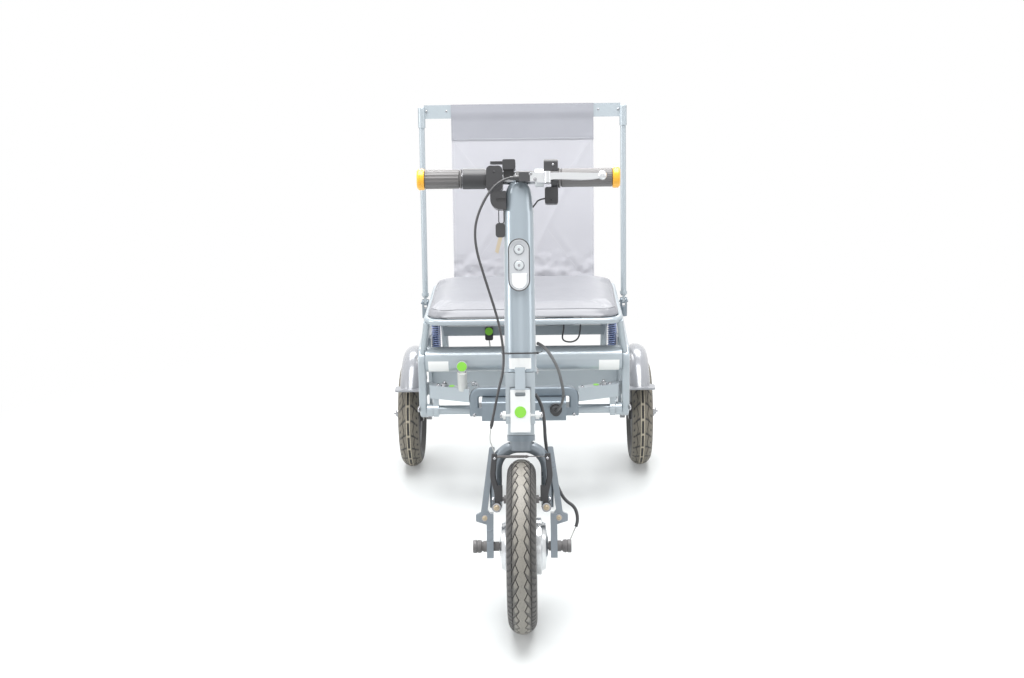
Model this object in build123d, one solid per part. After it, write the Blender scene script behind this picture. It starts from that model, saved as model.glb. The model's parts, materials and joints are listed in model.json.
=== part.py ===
from build123d import *
import os
from math import sin, cos, radians, sqrt

os.makedirs("parts", exist_ok=True)

# ================================================================ driving dimensions, mm
# Positions: x from the middle plane, y from the front axle, z from the ground.
WHEELBASE = 850.0
FIT = 0.05                              # radial running clearance at pins and shafts
BEAD = 0.88                             # share of a tyre's height that shows above its rim

# front wheel: 12 1/2 inch tyre on a spoked rim round a hub motor
FRONT_R, FRONT_W, FRONT_H = 155.0, 52.0, 53.0       # radius, width and height of the tyre section
RIM_HALF, RIM_IN = 15.0, 84.0
MOTOR_D = 111.0
MOTOR_LEFT, MOTOR_RIGHT = 46.0, 40.0    # cover faces from the middle, towards +x and towards -x
SPOKES, SPOKE_D = 32, 2.4
AXLE_D = 12.0

# fork, drawn along the steering axis, which leans back
LEAN = 15.0
LEG_X, LEG_D = 46.0, 22.0               # arch tube: half spread and diameter
CROWN_H = 178.0                         # centre of the arch above the axle
STEERER_D = 34.0
STRUT_TOP_X, STRUT_LOW_X, STRUT_T = 57.0, 73.0, 10.0
DROP_X, DROP_T = 51.0, 12.0             # dropout plates: inner face and thickness
TAB_X = 82.0
HEAD_D, HEAD_LO, HEAD_HI = 48.0, 200.0, 262.0
BRAKE_PIVOT_X, BRAKE_PIVOT_H = 44.0, 74.0
BRAKE_TOP_X, BRAKE_TOP_H = 49.0, 164.0

# folding column
FOLD_H, FOLD_BACK = 312.0, 36.0         # hinge pin along and behind the steering axis
HINGE_D = 8.0
COLLAR = 39.0                           # height of the collar above the hinge line
COLUMN_W, COLUMN_DEEP = 56.0, 50.0
BAR_H, BAR_HALF, BAR_D = 658.0, 176.0, 22.2
SHOULDER = 60.0                         # below the bar, where the column starts to narrow
GRIP_D = 34.0
LIGHT_H, LIGHT_W, LIGHT_L = 502.0, 37.0, 92.0
LENS_D = 17.0

# front section, which folds under the seat about its pivot bar
PIVOT_Y, PIVOT_Z, PIVOT_D = 580.0, 222.0, 20.0
MAIN_TUBE_D = 40.0
BOX_X, BOX_FRONT, BOX_LO, BOX_HI = 90.0, 508.0, 218.0, 262.0
BOW_X, BOW_Y, BOW_TOP, BOW_T = 107.5, 551.0, 273.0, 20.0
ARM_X, ARM_LO, ARM_HI = 206.0, 251.0, 280.0

# rear frame
SIDE_X, SIDE_T, SIDE_H = 220.5, 17.0, 22.0          # side frame loops: centre, width across, height of section
WEB_T = 7.0                             # plate that closes the loop by the wheel
CROSS_D, CROSS_Y, CROSS_Z = 54.0, 592.0, 334.0
REAR_BEAM_FWD, BEAM_T = 40.0, 24.0      # beam ahead of the rear axle, and its thickness
BEAM_LO, BEAM_HI = 190.0, 250.0
REAR_R, REAR_W, REAR_H = 127.0, 50.0, 48.0          # 10 inch rear tyres
REAR_X = 270.5
STUB_D = 16.0
GUARD_X, GUARD_R, GUARD_W = 262.0, 161.0, 52.0      # mudguards: middle, crown radius, width
GUARD_T, GUARD_LIP_Z = 3.0, 223.0

# seat
RAIL_X, RAIL_D, RAIL_Z = 206.0, 15.0, 427.0
SEAT_FRONT, SEAT_BEHIND = 545.0, 12.0   # front edge from the front axle, rear edge behind the rear axle
CUSHION_HALF, CUSHION_T, CUSHION_R = 206.5, 22.4, 34.0
SPRING_X, SPRING_FWD, SPRING_LO, SPRING_HI = 197.5, 144.0, 322.0, 396.0
COIL_D, WIRE_D, COILS = 22.0, 4.2, 9
UNDER_FWD, UNDER_Z = 118.0, 361.0       # cross bar under the seat

# backrest
BACK_X, BACK_D = 233.5, 13.0
BACK_PIN_BEHIND, BACK_PIN_Z, BACK_PIN_D = 26.0, 391.0, 6.0
BACK_LEAN = 8.0
BACK_LEN, BACK_BAR_H = 444.5, 31.0      # pin to the middle of the top bars, and their height
PANEL_HALF, PANEL_LO, PANEL_HI = 165.0, 40.0, 460.0

REAR_Y = WHEELBASE
BACK_PIN_Y = WHEELBASE + BACK_PIN_BEHIND

# ================================================================ frame
# The whole object's box is centred on the origin, which stands on the ground.
REACH = WHEELBASE + REAR_R
VEHICLE = Location((0, (FRONT_R - REACH) / 2, 0))
STEER = Location((0, 0, FRONT_R), (-LEAN, 0, 0))     # its z runs up the steering axis
BACK = Location((0, BACK_PIN_Y, BACK_PIN_Z), (-BACK_LEAN, 0, 0))
SAGITTAL = Plane.YZ


def save(name, *shapes):
    solids = [s for shape in shapes for s in (VEHICLE * shape).solids()]
    export_step(solids[0] if len(solids) == 1 else Compound(solids), f"parts/{name}.step")


def block(x0, x1, y0, y1, z0, z1):
    return Pos((x0 + x1) / 2, (y0 + y1) / 2, (z0 + z1) / 2) * Box(x1 - x0, y1 - y0, z1 - z0)


def rod(p, q, d):
    p, q = Vector(*p), Vector(*q)
    return extrude(Plane(origin=p, z_dir=q - p) * Circle(d / 2), (q - p).length)


def bar_x(x0, x1, y, z, d):
    return rod((x0, y, z), (x1, y, z), d)


def rod_z(x, y, z0, z1, d):
    return rod((x, y, z0), (x, y, z1), d)


def swept(points, radius, section, x_dir=None, close=False):
    """Carries a section along straight runs joined by arcs."""
    path = FilletPolyline(*[Vector(*p) for p in points], radius=radius, close=close)
    start = Plane(origin=path @ 0, x_dir=x_dir, z_dir=path % 0)
    return Part() + sweep(start * section, path=path)


def pipe(points, d, radius):
    return swept(points, radius, Circle(d / 2))


def turned(points, y=0.0, z=0.0):
    """Turns an outline of (x, radius) points about an X line through (y, z)."""
    face = make_face(Polyline(*points, close=True))
    return Pos(0, y, z) * revolve(face, Axis.X)


def tyre(x, radius, width, height, y, z):
    """A tyre of oval section, cut square at the bead to sit on its rim."""
    oval = Pos(x, radius - height / 2) * Ellipse(width / 2, height / 2)
    bead_r = radius - height * BEAD
    return Pos(0, y, z) * revolve(oval - Pos(x, bead_r / 2) * Rectangle(width, bead_r), Axis.X)


def plate_yz(points, x0, x1):
    """A plate between two x values, from a (y, z) outline."""
    face = make_face(Polyline(*points, close=True))
    return extrude(Plane(origin=(x0, 0, 0), x_dir=(0, 1, 0), z_dir=(1, 0, 0)) * face, x1 - x0)


def plate_xz(outline, y0, y1):
    """A plate between two y values, from an (x, z) outline or a sketch."""
    face = outline if isinstance(outline, Sketch) else make_face(Polyline(*outline, close=True))
    return extrude(Plane(origin=(0, y1, 0), x_dir=(1, 0, 0), z_dir=(0, -1, 0)) * face, y1 - y0)


def mirrored(shape):
    return mirror(shape, about=SAGITTAL)


def both(shape):
    """The shape and its mirror image across the middle."""
    return [shape, mirrored(shape)]


def joined(*shapes):
    total = shapes[0]
    for s in shapes[1:]:
        total += s
    return total


# ================================================================ front wheel
front_tyre = tyre(0, FRONT_R, FRONT_W, FRONT_H, 0, FRONT_R)
save("front_tyre", front_tyre)
bead_r = FRONT_R - FRONT_H * BEAD
half_rim = [(RIM_HALF, bead_r), (RIM_HALF, bead_r - 5), (RIM_HALF - 1, RIM_IN + 6), (RIM_HALF - 7, RIM_IN)]
front_rim = turned(half_rim + [(-x, r) for x, r in reversed(half_rim)], 0, FRONT_R)
save("front_rim", front_rim)

motor_r = MOTOR_D / 2
bore = AXLE_D / 2 + FIT
flange_in, flange_out = 20.0, 25.0


def motor_cover(face_x):
    """Half of the motor's outline, from its middle to its cover face, as (distance, radius) points."""
    drum_r = motor_r - 5
    return [(flange_in - 1, drum_r), (flange_in, motor_r), (flange_out, motor_r), (flange_out + 1, drum_r),
            (face_x - 12, drum_r), (face_x - 10, drum_r - 7), (face_x - 4, drum_r - 10), (face_x - 1, 20), (face_x, 17),
            (face_x, bore)]


hub = turned([(-x, r) for x, r in reversed(motor_cover(MOTOR_RIGHT))] + motor_cover(MOTOR_LEFT), 0, FRONT_R)
save("hub_motor", hub)

spokes = []
for k in range(SPOKES):
    side = 1 if k % 2 else -1
    a = radians(k * 360 / SPOKES)
    swing = radians(14 if (k // 2) % 2 else -14)
    root = motor_r - 0.6
    p = (side * (flange_in + flange_out) / 2, root * sin(a + swing), FRONT_R + root * cos(a + swing))
    q = (side * 3.0, (RIM_IN + 0.3) * sin(a), FRONT_R + (RIM_IN + 0.3) * cos(a))
    spokes.append(rod(p, q, SPOKE_D) - hub - front_rim)
save("spokes", *spokes)

# ================================================================ fork and what turns with it
drop_mid = DROP_X + DROP_T / 2
arch = pipe([(-LEG_X, 0, BRAKE_PIVOT_H - 4), (-LEG_X, 0, CROWN_H), (LEG_X, 0, CROWN_H), (LEG_X, 0, BRAKE_PIVOT_H - 4)],
            LEG_D, 40)
crown = rod_z(0, 0, CROWN_H - 6, CROWN_H + 11, 42)
steerer = rod_z(0, 0, CROWN_H, FOLD_H - 22, STEERER_D)
strut = plate_xz([(STRUT_TOP_X - STRUT_T, CROWN_H), (STRUT_TOP_X, CROWN_H), (STRUT_LOW_X, 62), (TAB_X, 58), (TAB_X, 46),
                  (DROP_X + DROP_T, 40), (DROP_X, 52), (STRUT_LOW_X - STRUT_T - 2, 66)], -10, 2)
strut = fillet(strut.edges().filter_by(Axis.Y), 2.5)
dropout = plate_yz([(-13, -6), (-9, -20), (9, -20), (13, -6), (12, 60), (-12, 60)], DROP_X, DROP_X + DROP_T)
boss = rod((BRAKE_PIVOT_X, -6, BRAKE_PIVOT_H), (BRAKE_PIVOT_X, -22, BRAKE_PIVOT_H), 11)
fork = joined(arch, crown, steerer, *both(strut), *both(dropout), *both(boss))
fork -= bar_x(-100, 100, 0, 0, AXLE_D)
save("fork", STEER * fork)

# axle with its spacers, nuts and turned end knobs
drop_out = DROP_X + DROP_T
axle_end = drop_out + 25
axle = bar_x(-axle_end, axle_end, 0, 0, AXLE_D)
for s, cover in ((1, MOTOR_LEFT), (-1, MOTOR_RIGHT)):
    spacer = turned([(s * (cover + 1), 0), (s * (cover + 1), 8.5), (s * DROP_X, 8.5), (s * DROP_X, 0)])
    knob = turned([(s * drop_out, 0), (s * drop_out, 10), (s * (drop_out + 6), 10), (s * (drop_out + 7), 8.5),
                   (s * (drop_out + 9), 8.5), (s * (drop_out + 10), 11), (s * (drop_out + 15), 12),
                   (s * (drop_out + 17), 10.6), (s * (drop_out + 19), 12), (s * (axle_end - 1), 12), (s * axle_end, 10.5),
                   (s * axle_end, 0)])
    axle += spacer + knob
save("front_axle", STEER * axle)

race = rod_z(0, 0, CROWN_H + 11, HEAD_LO - 0.6, HEAD_D + 2) - rod_z(0, 0, CROWN_H, HEAD_LO + 10, STEERER_D)
save("head_race", STEER * race)

# rim brake: curved arms on the fork's bosses, pads on studs, and the cable's boot between the arm tops
arm_line = [(BRAKE_PIVOT_X, -29, BRAKE_PIVOT_H - 8), (BRAKE_PIVOT_X - 2, -29, BRAKE_PIVOT_H + 22),
            (BRAKE_TOP_X + 2, -29, BRAKE_TOP_H - 36), (BRAKE_TOP_X - 2, -29, BRAKE_TOP_H + 4)]
arm = swept(arm_line, [60, 40], RectangleRounded(10, 8, 2), x_dir=(1, 0, 0))
arm += rod((BRAKE_PIVOT_X, -36, BRAKE_PIVOT_H), (BRAKE_PIVOT_X, -22, BRAKE_PIVOT_H), 17)
arm += block(BRAKE_PIVOT_X - 10.5, BRAKE_PIVOT_X - 1, -33, -25, BRAKE_PIVOT_H + 10, BRAKE_PIVOT_H + 38)
save("brake_arms", *[STEER * a for a in both(arm)])
pad_h = 88.0
pad = block(RIM_HALF + 5.5, RIM_HALF + 16, -53, -6, pad_h - 5, pad_h + 4)
pad += bar_x(RIM_HALF + 16, BRAKE_PIVOT_X - 3, -29, pad_h, 7)
save("brake_pads", *[STEER * (p - arm - mirrored(arm)) for p in both(pad)])

# hinge base of the folding column: two cheeks with the latch lever between them
base_lo, base_hi = HEAD_HI + 0.6, FOLD_H - 0.5
latch_lo = FOLD_H - 90
base = rod_z(0, 0, base_lo, base_hi, HEAD_D + 4)
base += block(-26, 26, -46, -30, latch_lo, base_hi) + block(-26, 26, -32, -14, HEAD_HI + 6, base_hi)
base -= block(-18.5, 18.5, -50, -40, latch_lo - 1, FOLD_H - 25)
knuckle = bar_x(12.5, 26, FOLD_BACK, FOLD_H, 18) + block(12.5, 26, 12, FOLD_BACK, FOLD_H - 16, base_hi)
base += knuckle + mirrored(knuckle)
base -= rod_z(0, 0, base_lo - 1, FOLD_H - 22, STEERER_D)
base += bar_x(-29, 29, FOLD_BACK, FOLD_H, HINGE_D)

latch_h = FOLD_H - 75
base -= bar_x(-26.1, 26.1, -42, latch_h, 9)
latch_plate = plate_xz(Pos(0, FOLD_H - 65.5) * RectangleRounded(35, 77, 3) - Pos(0, FOLD_H - 38) * RectangleRounded(18, 7, 2),
                       -55, -50)
latch = latch_plate + block(-17.5, 17.5, -55, -43, latch_h - 9, latch_h + 9)
latch += block(-17.5, 17.5, -61, -55, FOLD_H - 104, FOLD_H - 100) + block(-17.5, 17.5, -55, -50, FOLD_H - 104, FOLD_H - 98)
latch += bar_x(-33, 36, -42, latch_h, 9) + bar_x(-31, -26.2, -42, latch_h, 15) + bar_x(26.2, 33, -42, latch_h, 15)
latch += block(-9, 9, -60, -50, FOLD_H - 29, FOLD_H + 6) + block(-9, 9, -60, -38, FOLD_H + 4, FOLD_H + 9)
save("hinge_base", STEER * base)
save("latch_lever", STEER * latch)

# ================================================================ folding column
collar_top = FOLD_H + COLLAR
collar = rod_z(0, 0, FOLD_H + 0.5, FOLD_H + 6, COLUMN_W + 4) + rod_z(0, 0, FOLD_H + 5.5, collar_top, COLUMN_W + 2)
collar -= block(-40, 40, 24, 40, FOLD_H - 1, collar_top + 1)
collar += block(-12, 12, 10, FOLD_BACK, FOLD_H + 0.5, FOLD_H + 14) + bar_x(-12, 12, FOLD_BACK, FOLD_H, 18)
collar -= bar_x(-13, 13, FOLD_BACK, FOLD_H, HINGE_D + 2 * FIT)
collar -= block(-10, 10, -38, -22, FOLD_H - 1, FOLD_H + 12)      # slot for the latch hook


def oval_at(height, width, deep):
    return Pos(0, 0, height) * Ellipse(width / 2, deep / 2)


shoulder_h = BAR_H - SHOULDER
body = loft([oval_at(collar_top - 1, COLUMN_W, COLUMN_DEEP), oval_at(shoulder_h, COLUMN_W - 3, COLUMN_DEEP - 3)])
shoulder = loft([oval_at(shoulder_h, COLUMN_W - 3, COLUMN_DEEP - 3), oval_at(BAR_H - 34, COLUMN_W - 8, COLUMN_DEEP - 8),
                 oval_at(BAR_H - 18, COLUMN_W - 15, COLUMN_DEEP - 14), oval_at(BAR_H - 9, COLUMN_W - 26, COLUMN_DEEP - 20)])
handle_hole = bar_x(-200, 200, 0, BAR_H, BAR_D)
column = joined(collar, body, shoulder) - handle_hole
save("column", STEER * column)

clamp = bar_x(-4.5, 29, 0, BAR_H, 26) - block(-40, 40, -30, 30, BAR_H - 60, BAR_H - 8.6) - handle_hole
save("bar_clamp", STEER * clamp)
save("handlebar", STEER * bar_x(-BAR_HALF, BAR_HALF, 0, BAR_H, BAR_D))

grip_end = BAR_HALF - 8
left_grip = bar_x(-grip_end, -100, 0, BAR_H, GRIP_D) - handle_hole
right_grip = bar_x(71, grip_end, 0, BAR_H, GRIP_D) - handle_hole
save("grips", STEER * left_grip, STEER * right_grip)
cap = turned([(grip_end, 0), (grip_end, 18), (grip_end + 2, 19), (grip_end + 10, 19), (grip_end + 13, 16),
              (grip_end + 13, 0)], 0, BAR_H)
cap -= bar_x(grip_end - 8, BAR_HALF, 0, BAR_H, BAR_D)
save("grip_caps", *[STEER * c for c in both(cap)])

# twist throttle and its housing, the display, the key switch
twist = bar_x(-99.5, -60, 0, BAR_H, GRIP_D + 3)
housing = plate_xz(Pos(-42.5, BAR_H - 1.5) * RectangleRounded(29, 45, 8), -20, 20)
throttle = twist + housing + bar_x(-60.5, -56, 0, BAR_H, GRIP_D) - handle_hole
save("throttle", STEER * throttle)
display_lo = BAR_H + 14
display = plate_xz(Pos(-16.5, display_lo + 9) * RectangleRounded(23, 18, 3), -20, 14)
display += block(-50, -27, -8, 6, BAR_H + 25.5, BAR_H + 30) + block(-26, -8, -12, 12, BAR_H, display_lo + 1)
display -= handle_hole
save("display", STEER * (display - throttle - clamp))
lock_top = BAR_H - 24.2
lock_low = lock_top - 33
lock_side = Rectangle(28, 33)
lock_side = fillet(lock_side.vertices().sort_by(Axis.X)[:2].sort_by(Axis.Y)[0], 18)
lock = plate_xz(Pos(-36, (lock_top + lock_low) / 2) * lock_side, -22, 8)
lock -= block(-39, -23, -23, -20, lock_top - 19, lock_top - 13)
key_loop = RectangleRounded(11, 28, 5) - RectangleRounded(7.5, 24.5, 3.4)
key = plate_xz(Pos(-31, lock_low - 11) * key_loop, -9, -7)
key += plate_xz(Pos(-33, lock_low - 36) * RectangleRounded(17, 26, 6), -10, -6)
key += plate_xz([(-36, lock_low - 47), (-29, lock_low - 47), (-37, lock_low - 78), (-43, lock_low - 74)], -9, -7)
save("ignition_lock", STEER * (joined(lock, key) - column))

# brake lever: body and barrel in front of the bar, clamp, and a blade with a ball end
perch = bar_x(30, 45, 0, BAR_H, 32) + block(33, 58, -38, -8, BAR_H - 12, BAR_H + 6) - handle_hole
brake_body = block(1, 33.2, -34, -15, BAR_H - 9, BAR_H + 7)
barrel = turned([(-15, 0), (-15, 3.6), (-9, 3.6), (-8, 5.2), (1.2, 5.2), (1.2, 0)], -25, BAR_H - 2)
blade_top, blade_low = BAR_H + 4, BAR_H - 8
blade_edge = Spline((56, blade_top), (90, blade_top), (122, BAR_H + 3), (148, BAR_H + 3))
blade_under = Spline((148, BAR_H - 5), (118, BAR_H - 9), (88, BAR_H - 8), (56, blade_low))
blade_face = make_face([blade_edge, Line((148, BAR_H + 3), (148, BAR_H - 5)), blade_under,
                        Line((56, blade_low), (56, blade_top))])
blade = plate_xz(Sketch() + blade_face, -46, -37) + Pos(148, -41.5, BAR_H - 1) * Sphere(8)
blade += rod((52, -41.5, BAR_H - 13), (52, -41.5, BAR_H + 7), 12) + block(50, 58, -46, -37, blade_low, blade_top)
lever = joined(perch, brake_body, barrel, blade)
save("brake_lever", STEER * lever)

# switch pod: a ring on the bar with a drop-shaped box under it
pod_in, pod_out = 45.6, 70.6
pod_top = block(pod_in, pod_out, -16, 16, BAR_H + 7, BAR_H + 32)
pod_top = fillet(pod_top.edges().filter_by(Axis.X), 6)
pod_box = block(pod_in + 1.4, pod_out, -10, 14, BAR_H - 47, BAR_H - 17)
pod_box = fillet(pod_box.edges().filter_by(Axis.Y), 4)
pod = joined(pod_top, pod_box, bar_x(58.6, pod_out, 0, BAR_H, 37)) - handle_hole
save("switch_pod", STEER * pod)

# headlight: an oval bezel with a pocket that holds two round lenses over a plain panel
oval = RectangleRounded(LIGHT_W, LIGHT_L, LIGHT_W / 2 - 0.5)
pocket = RectangleRounded(LIGHT_W - 7, LIGHT_L - 7, LIGHT_W / 2 - 4)
light_face = -COLUMN_DEEP / 2 - 5
bezel = plate_xz(Pos(0, LIGHT_H) * oval, light_face, light_face + 16)
bezel -= plate_xz(Pos(0, LIGHT_H) * pocket, light_face - 1, light_face + 3)
bezel -= body
save("headlight", STEER * bezel)
lens_line = light_face + 3
lenses = []
for lens_h in (LIGHT_H + 27, LIGHT_H - 1):
    dome = rod((0, lens_line, lens_h), (0, lens_line - 2.6, lens_h), LENS_D)
    dome = fillet(dome.faces().sort_by(Axis.Y)[0].edges(), 2.2)
    lenses.append(STEER * dome)
save("headlight_lenses", *lenses)

# ================================================================ front section of the frame
head_mid = (HEAD_LO + HEAD_HI) / 2
head = rod_z(0, 0, HEAD_LO, HEAD_HI, HEAD_D) - rod_z(0, 0, HEAD_LO - 1, HEAD_HI + 1, STEERER_D + 2 * FIT)
head_y = head_mid * sin(radians(LEAN))
head_z = FRONT_R + head_mid * cos(radians(LEAN))
tube_line = pipe([(0, head_y, head_z + 4), (0, head_y + 268, head_z - 84), (0, BOX_FRONT + 12, BOX_LO + 24)], MAIN_TUBE_D, 300)
main_tube = tube_line - STEER * rod_z(0, 0, HEAD_LO - 60, HEAD_HI + 60, HEAD_D)
main_tube -= block(-60, 60, BOX_FRONT, BOX_FRONT + 52, BOX_LO - 18, BOX_HI + 38)
save("main_tube", main_tube + STEER * head)

pivot_box = block(-BOX_X, BOX_X, BOX_FRONT, BOX_FRONT + 52, BOX_LO, BOX_HI)
pivot_box = fillet(pivot_box.edges().filter_by(Axis.X), 5)
save("pivot_box", pivot_box)
plug_x, plug_z = 68.0, 246.0
socket = rod((plug_x, BOX_FRONT - 8, plug_z), (plug_x, BOX_FRONT, plug_z), 26)
plug = rod((plug_x, BOX_FRONT - 22, plug_z), (plug_x, BOX_FRONT - 7, plug_z), 20)
save("connector", socket + plug)

# fold bow over the box, its feet ending in barrels on the pivot bar
barrel_d = PIVOT_D + 10
foot = block(BOX_X, BOW_X + BOW_T / 2, BOW_Y - BOW_T / 2, PIVOT_Y, PIVOT_Z, PIVOT_Z + 16)
foot += bar_x(BOX_X, BOW_X + BOW_T / 2 + 0.5, PIVOT_Y, PIVOT_Z, barrel_d)
foot -= bar_x(BOX_X - 10, BOW_X + 30, PIVOT_Y, PIVOT_Z, PIVOT_D + 2 * FIT)
foot_top = PIVOT_Z + 16
bow = swept([(-BOW_X, BOW_Y, foot_top), (-BOW_X, BOW_Y, BOW_TOP), (BOW_X, BOW_Y, BOW_TOP), (BOW_X, BOW_Y, foot_top)], 14,
            RectangleRounded(BOW_T, BOW_T, 4), x_dir=(1, 0, 0))
save("fold_bow", joined(bow, *both(foot)))

# brace arms out to the side frames, with lugs down to the pivot bar
arm_root = BOW_X + BOW_T / 2
beam = make_face(Polyline((arm_root, BOW_Y - 10), (arm_root, BOW_Y + 10), (ARM_X, PIVOT_Y + 16), (ARM_X, PIVOT_Y - 6), close=True))
brace = Pos(0, 0, ARM_LO) * extrude(beam, ARM_HI - ARM_LO)
brace = fillet(brace.edges().filter_by(Axis.Z).sort_by(Axis.X)[-2:], 4)
lug = bar_x(ARM_X - 20, ARM_X - 8, PIVOT_Y, PIVOT_Z, barrel_d)
lug += block(ARM_X - 20, ARM_X - 8, PIVOT_Y - 9, PIVOT_Y + 9, PIVOT_Z, ARM_LO + 1)
lug -= bar_x(ARM_X - 30, ARM_X, PIVOT_Y, PIVOT_Z, PIVOT_D + 2 * FIT)
brace += lug
save("brace_arms", *both(brace))
lever_x = 132.0
fold_lever = rod((-lever_x, BOW_Y + 5, ARM_HI - 4), (-lever_x, BOW_Y - 4, ARM_HI + 37), 21)
fold_lever += plate_xz(Pos(-lever_x, ARM_HI + 51) * Circle(11.5) + Pos(-lever_x, ARM_HI + 38) * Rectangle(12, 18),
                       BOW_Y - 8, BOW_Y - 4.5)
save("fold_lever", fold_lever - mirrored(brace))

# ================================================================ rear frame
# each side frame is a closed loop of flattened tube with a web plate that carries the wheel's stub axle
loop_points = [(SIDE_X, CROSS_Y - 7, CROSS_Z + 12), (SIDE_X, CROSS_Y - 7, PIVOT_Z - 8), (SIDE_X, REAR_Y + 4, REAR_R + 10),
               (SIDE_X, REAR_Y + 52, REAR_R + 46), (SIDE_X, REAR_Y + 38, BACK_PIN_Z - 29)]
loop = swept(loop_points, [22, 40, 30, 40, 22], RectangleRounded(SIDE_T, SIDE_H, 4), x_dir=(1, 0, 0), close=True)
web_in, web_out = SIDE_X - WEB_T / 2, SIDE_X + WEB_T / 2
web = plate_yz([(REAR_Y - 64, REAR_R + 26), (REAR_Y - 64, REAR_R + 131), (REAR_Y + 45, REAR_R + 131),
                (REAR_Y + 50, REAR_R + 46), (REAR_Y + 6, REAR_R + 8)], web_in, web_out)
stub = bar_x(web_out, REAR_X + 28.5, REAR_Y, REAR_R, STUB_D) + bar_x(web_out, SIDE_X + 15.5, REAR_Y, REAR_R, 34)
stub += bar_x(REAR_X + 27, REAR_X + 35.5, REAR_Y, REAR_R, 26)
axle_stub = stub - loop - web
arm_stop = block(ARM_X - 6, SIDE_X - 7, PIVOT_Y + 16.8, PIVOT_Y + 24, ARM_LO + 1, ARM_HI - 1)
arm_stop += block(SIDE_X - 9.5, SIDE_X - 7, PIVOT_Y + 10, PIVOT_Y + 24, ARM_LO + 1, ARM_HI - 1)
spring_y = REAR_Y - SPRING_FWD
shelf = block(SPRING_X - 14, SIDE_X - 7, spring_y - 16, spring_y + 16, SPRING_LO - 4, SPRING_LO)
shelf += block(SIDE_X - 12, SIDE_X - 7, spring_y - 16, spring_y + 16, SPRING_LO - 4, CROSS_Z + 20)
side_frame = joined(loop, web, arm_stop, shelf)
save("side_frame_left", side_frame)
save("side_frame_right", mirrored(side_frame))
save("stub_axles", *both(axle_stub))

inner = SIDE_X - SIDE_T / 2
cross_tube = bar_x(-inner, inner, CROSS_Y, CROSS_Z, CROSS_D)
save("cross_tube", cross_tube)
pivot_bar = bar_x(-inner, inner, PIVOT_Y, PIVOT_Z, PIVOT_D)
pivot_bar += bar_x(ARM_X - 7, inner, PIVOT_Y, PIVOT_Z, PIVOT_D + 8) + bar_x(-inner, 7 - ARM_X, PIVOT_Y, PIVOT_Z, PIVOT_D + 8)
save("pivot_bar", pivot_bar)
beam_y = REAR_Y - REAR_BEAM_FWD
rear_beam = block(-web_in, web_in, beam_y - BEAM_T / 2, beam_y + BEAM_T / 2, BEAM_LO, BEAM_HI)
save("rear_beam", rear_beam)


def mudguard():
    """A shell of domed section over the wheel, which ends ahead of the wheel in a flat lip."""
    crown_h = GUARD_W / 2
    half_in = GUARD_W / 2 - GUARD_T
    outer = Ellipse(GUARD_W / 2, crown_h) - Pos(0, -crown_h) * Rectangle(2 * GUARD_W, 2 * crown_h)
    inner_dome = Ellipse(half_in, crown_h - GUARD_T)
    below = Pos(0, (crown_h - GUARD_R) / 2) * Rectangle(2 * half_in, GUARD_R - crown_h)
    at_wheel = Pos(0, REAR_Y, REAR_R)
    shell = at_wheel * revolve(Pos(GUARD_X, GUARD_R - crown_h) * (outer - inner_dome), Axis.X)
    hollow = at_wheel * revolve(Pos(GUARD_X, GUARD_R - crown_h) * (inner_dome + below), Axis.X)
    shell -= block(GUARD_X - 60, GUARD_X + 60, REAR_Y - 300, REAR_Y + 300, REAR_R - 300, GUARD_LIP_Z)
    shell -= plate_yz([(REAR_Y, REAR_R), (REAR_Y + 300, REAR_R + 190), (REAR_Y + 300, 0)], GUARD_X - 60, GUARD_X + 60)
    lip_y = REAR_Y - sqrt(GUARD_R ** 2 - (GUARD_LIP_Z - REAR_R) ** 2)
    lip = block(GUARD_X - 30, GUARD_X + 35, lip_y - 6, lip_y + 26, GUARD_LIP_Z - 2, GUARD_LIP_Z + 2)
    lip = fillet(lip.edges().filter_by(Axis.Z), 5)
    return shell + (lip - hollow)


stay_lo = REAR_R + GUARD_R - 20
stay = block(web_in, GUARD_X - 20, REAR_Y - 12, REAR_Y + 12, stay_lo, stay_lo + 4.5)
stay += block(web_in, web_in + 5, REAR_Y - 12, REAR_Y + 12, REAR_R + 131, stay_lo + 1)
guard = mudguard() + stay
save("mudguard_left", guard)
save("mudguard_right", mirrored(guard))

# seat frame on its struts and springs
seat_rear = REAR_Y + SEAT_BEHIND
rail_front = SEAT_FRONT + 7
seat_frame = pipe([(-RAIL_X, seat_rear + 10, RAIL_Z), (-RAIL_X, rail_front, RAIL_Z), (RAIL_X, rail_front, RAIL_Z),
                   (RAIL_X, seat_rear + 10, RAIL_Z)], RAIL_D, 30)
for bar_y in (REAR_Y - 150, REAR_Y):
    seat_frame += bar_x(-RAIL_X, RAIL_X, bar_y, RAIL_Z - 3, 12)
save("seat_frame", seat_frame)
cushion_lo = RAIL_Z + RAIL_D / 2 + 0.2
cushion = block(-CUSHION_HALF, CUSHION_HALF, SEAT_FRONT, seat_rear, cushion_lo, cushion_lo + CUSHION_T)
cushion = fillet(cushion.edges().filter_by(Axis.Z), CUSHION_R)
cushion = fillet(cushion.faces().sort_by(Axis.Z)[-1].edges(), 10)
save("seat_cushion", cushion)

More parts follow.
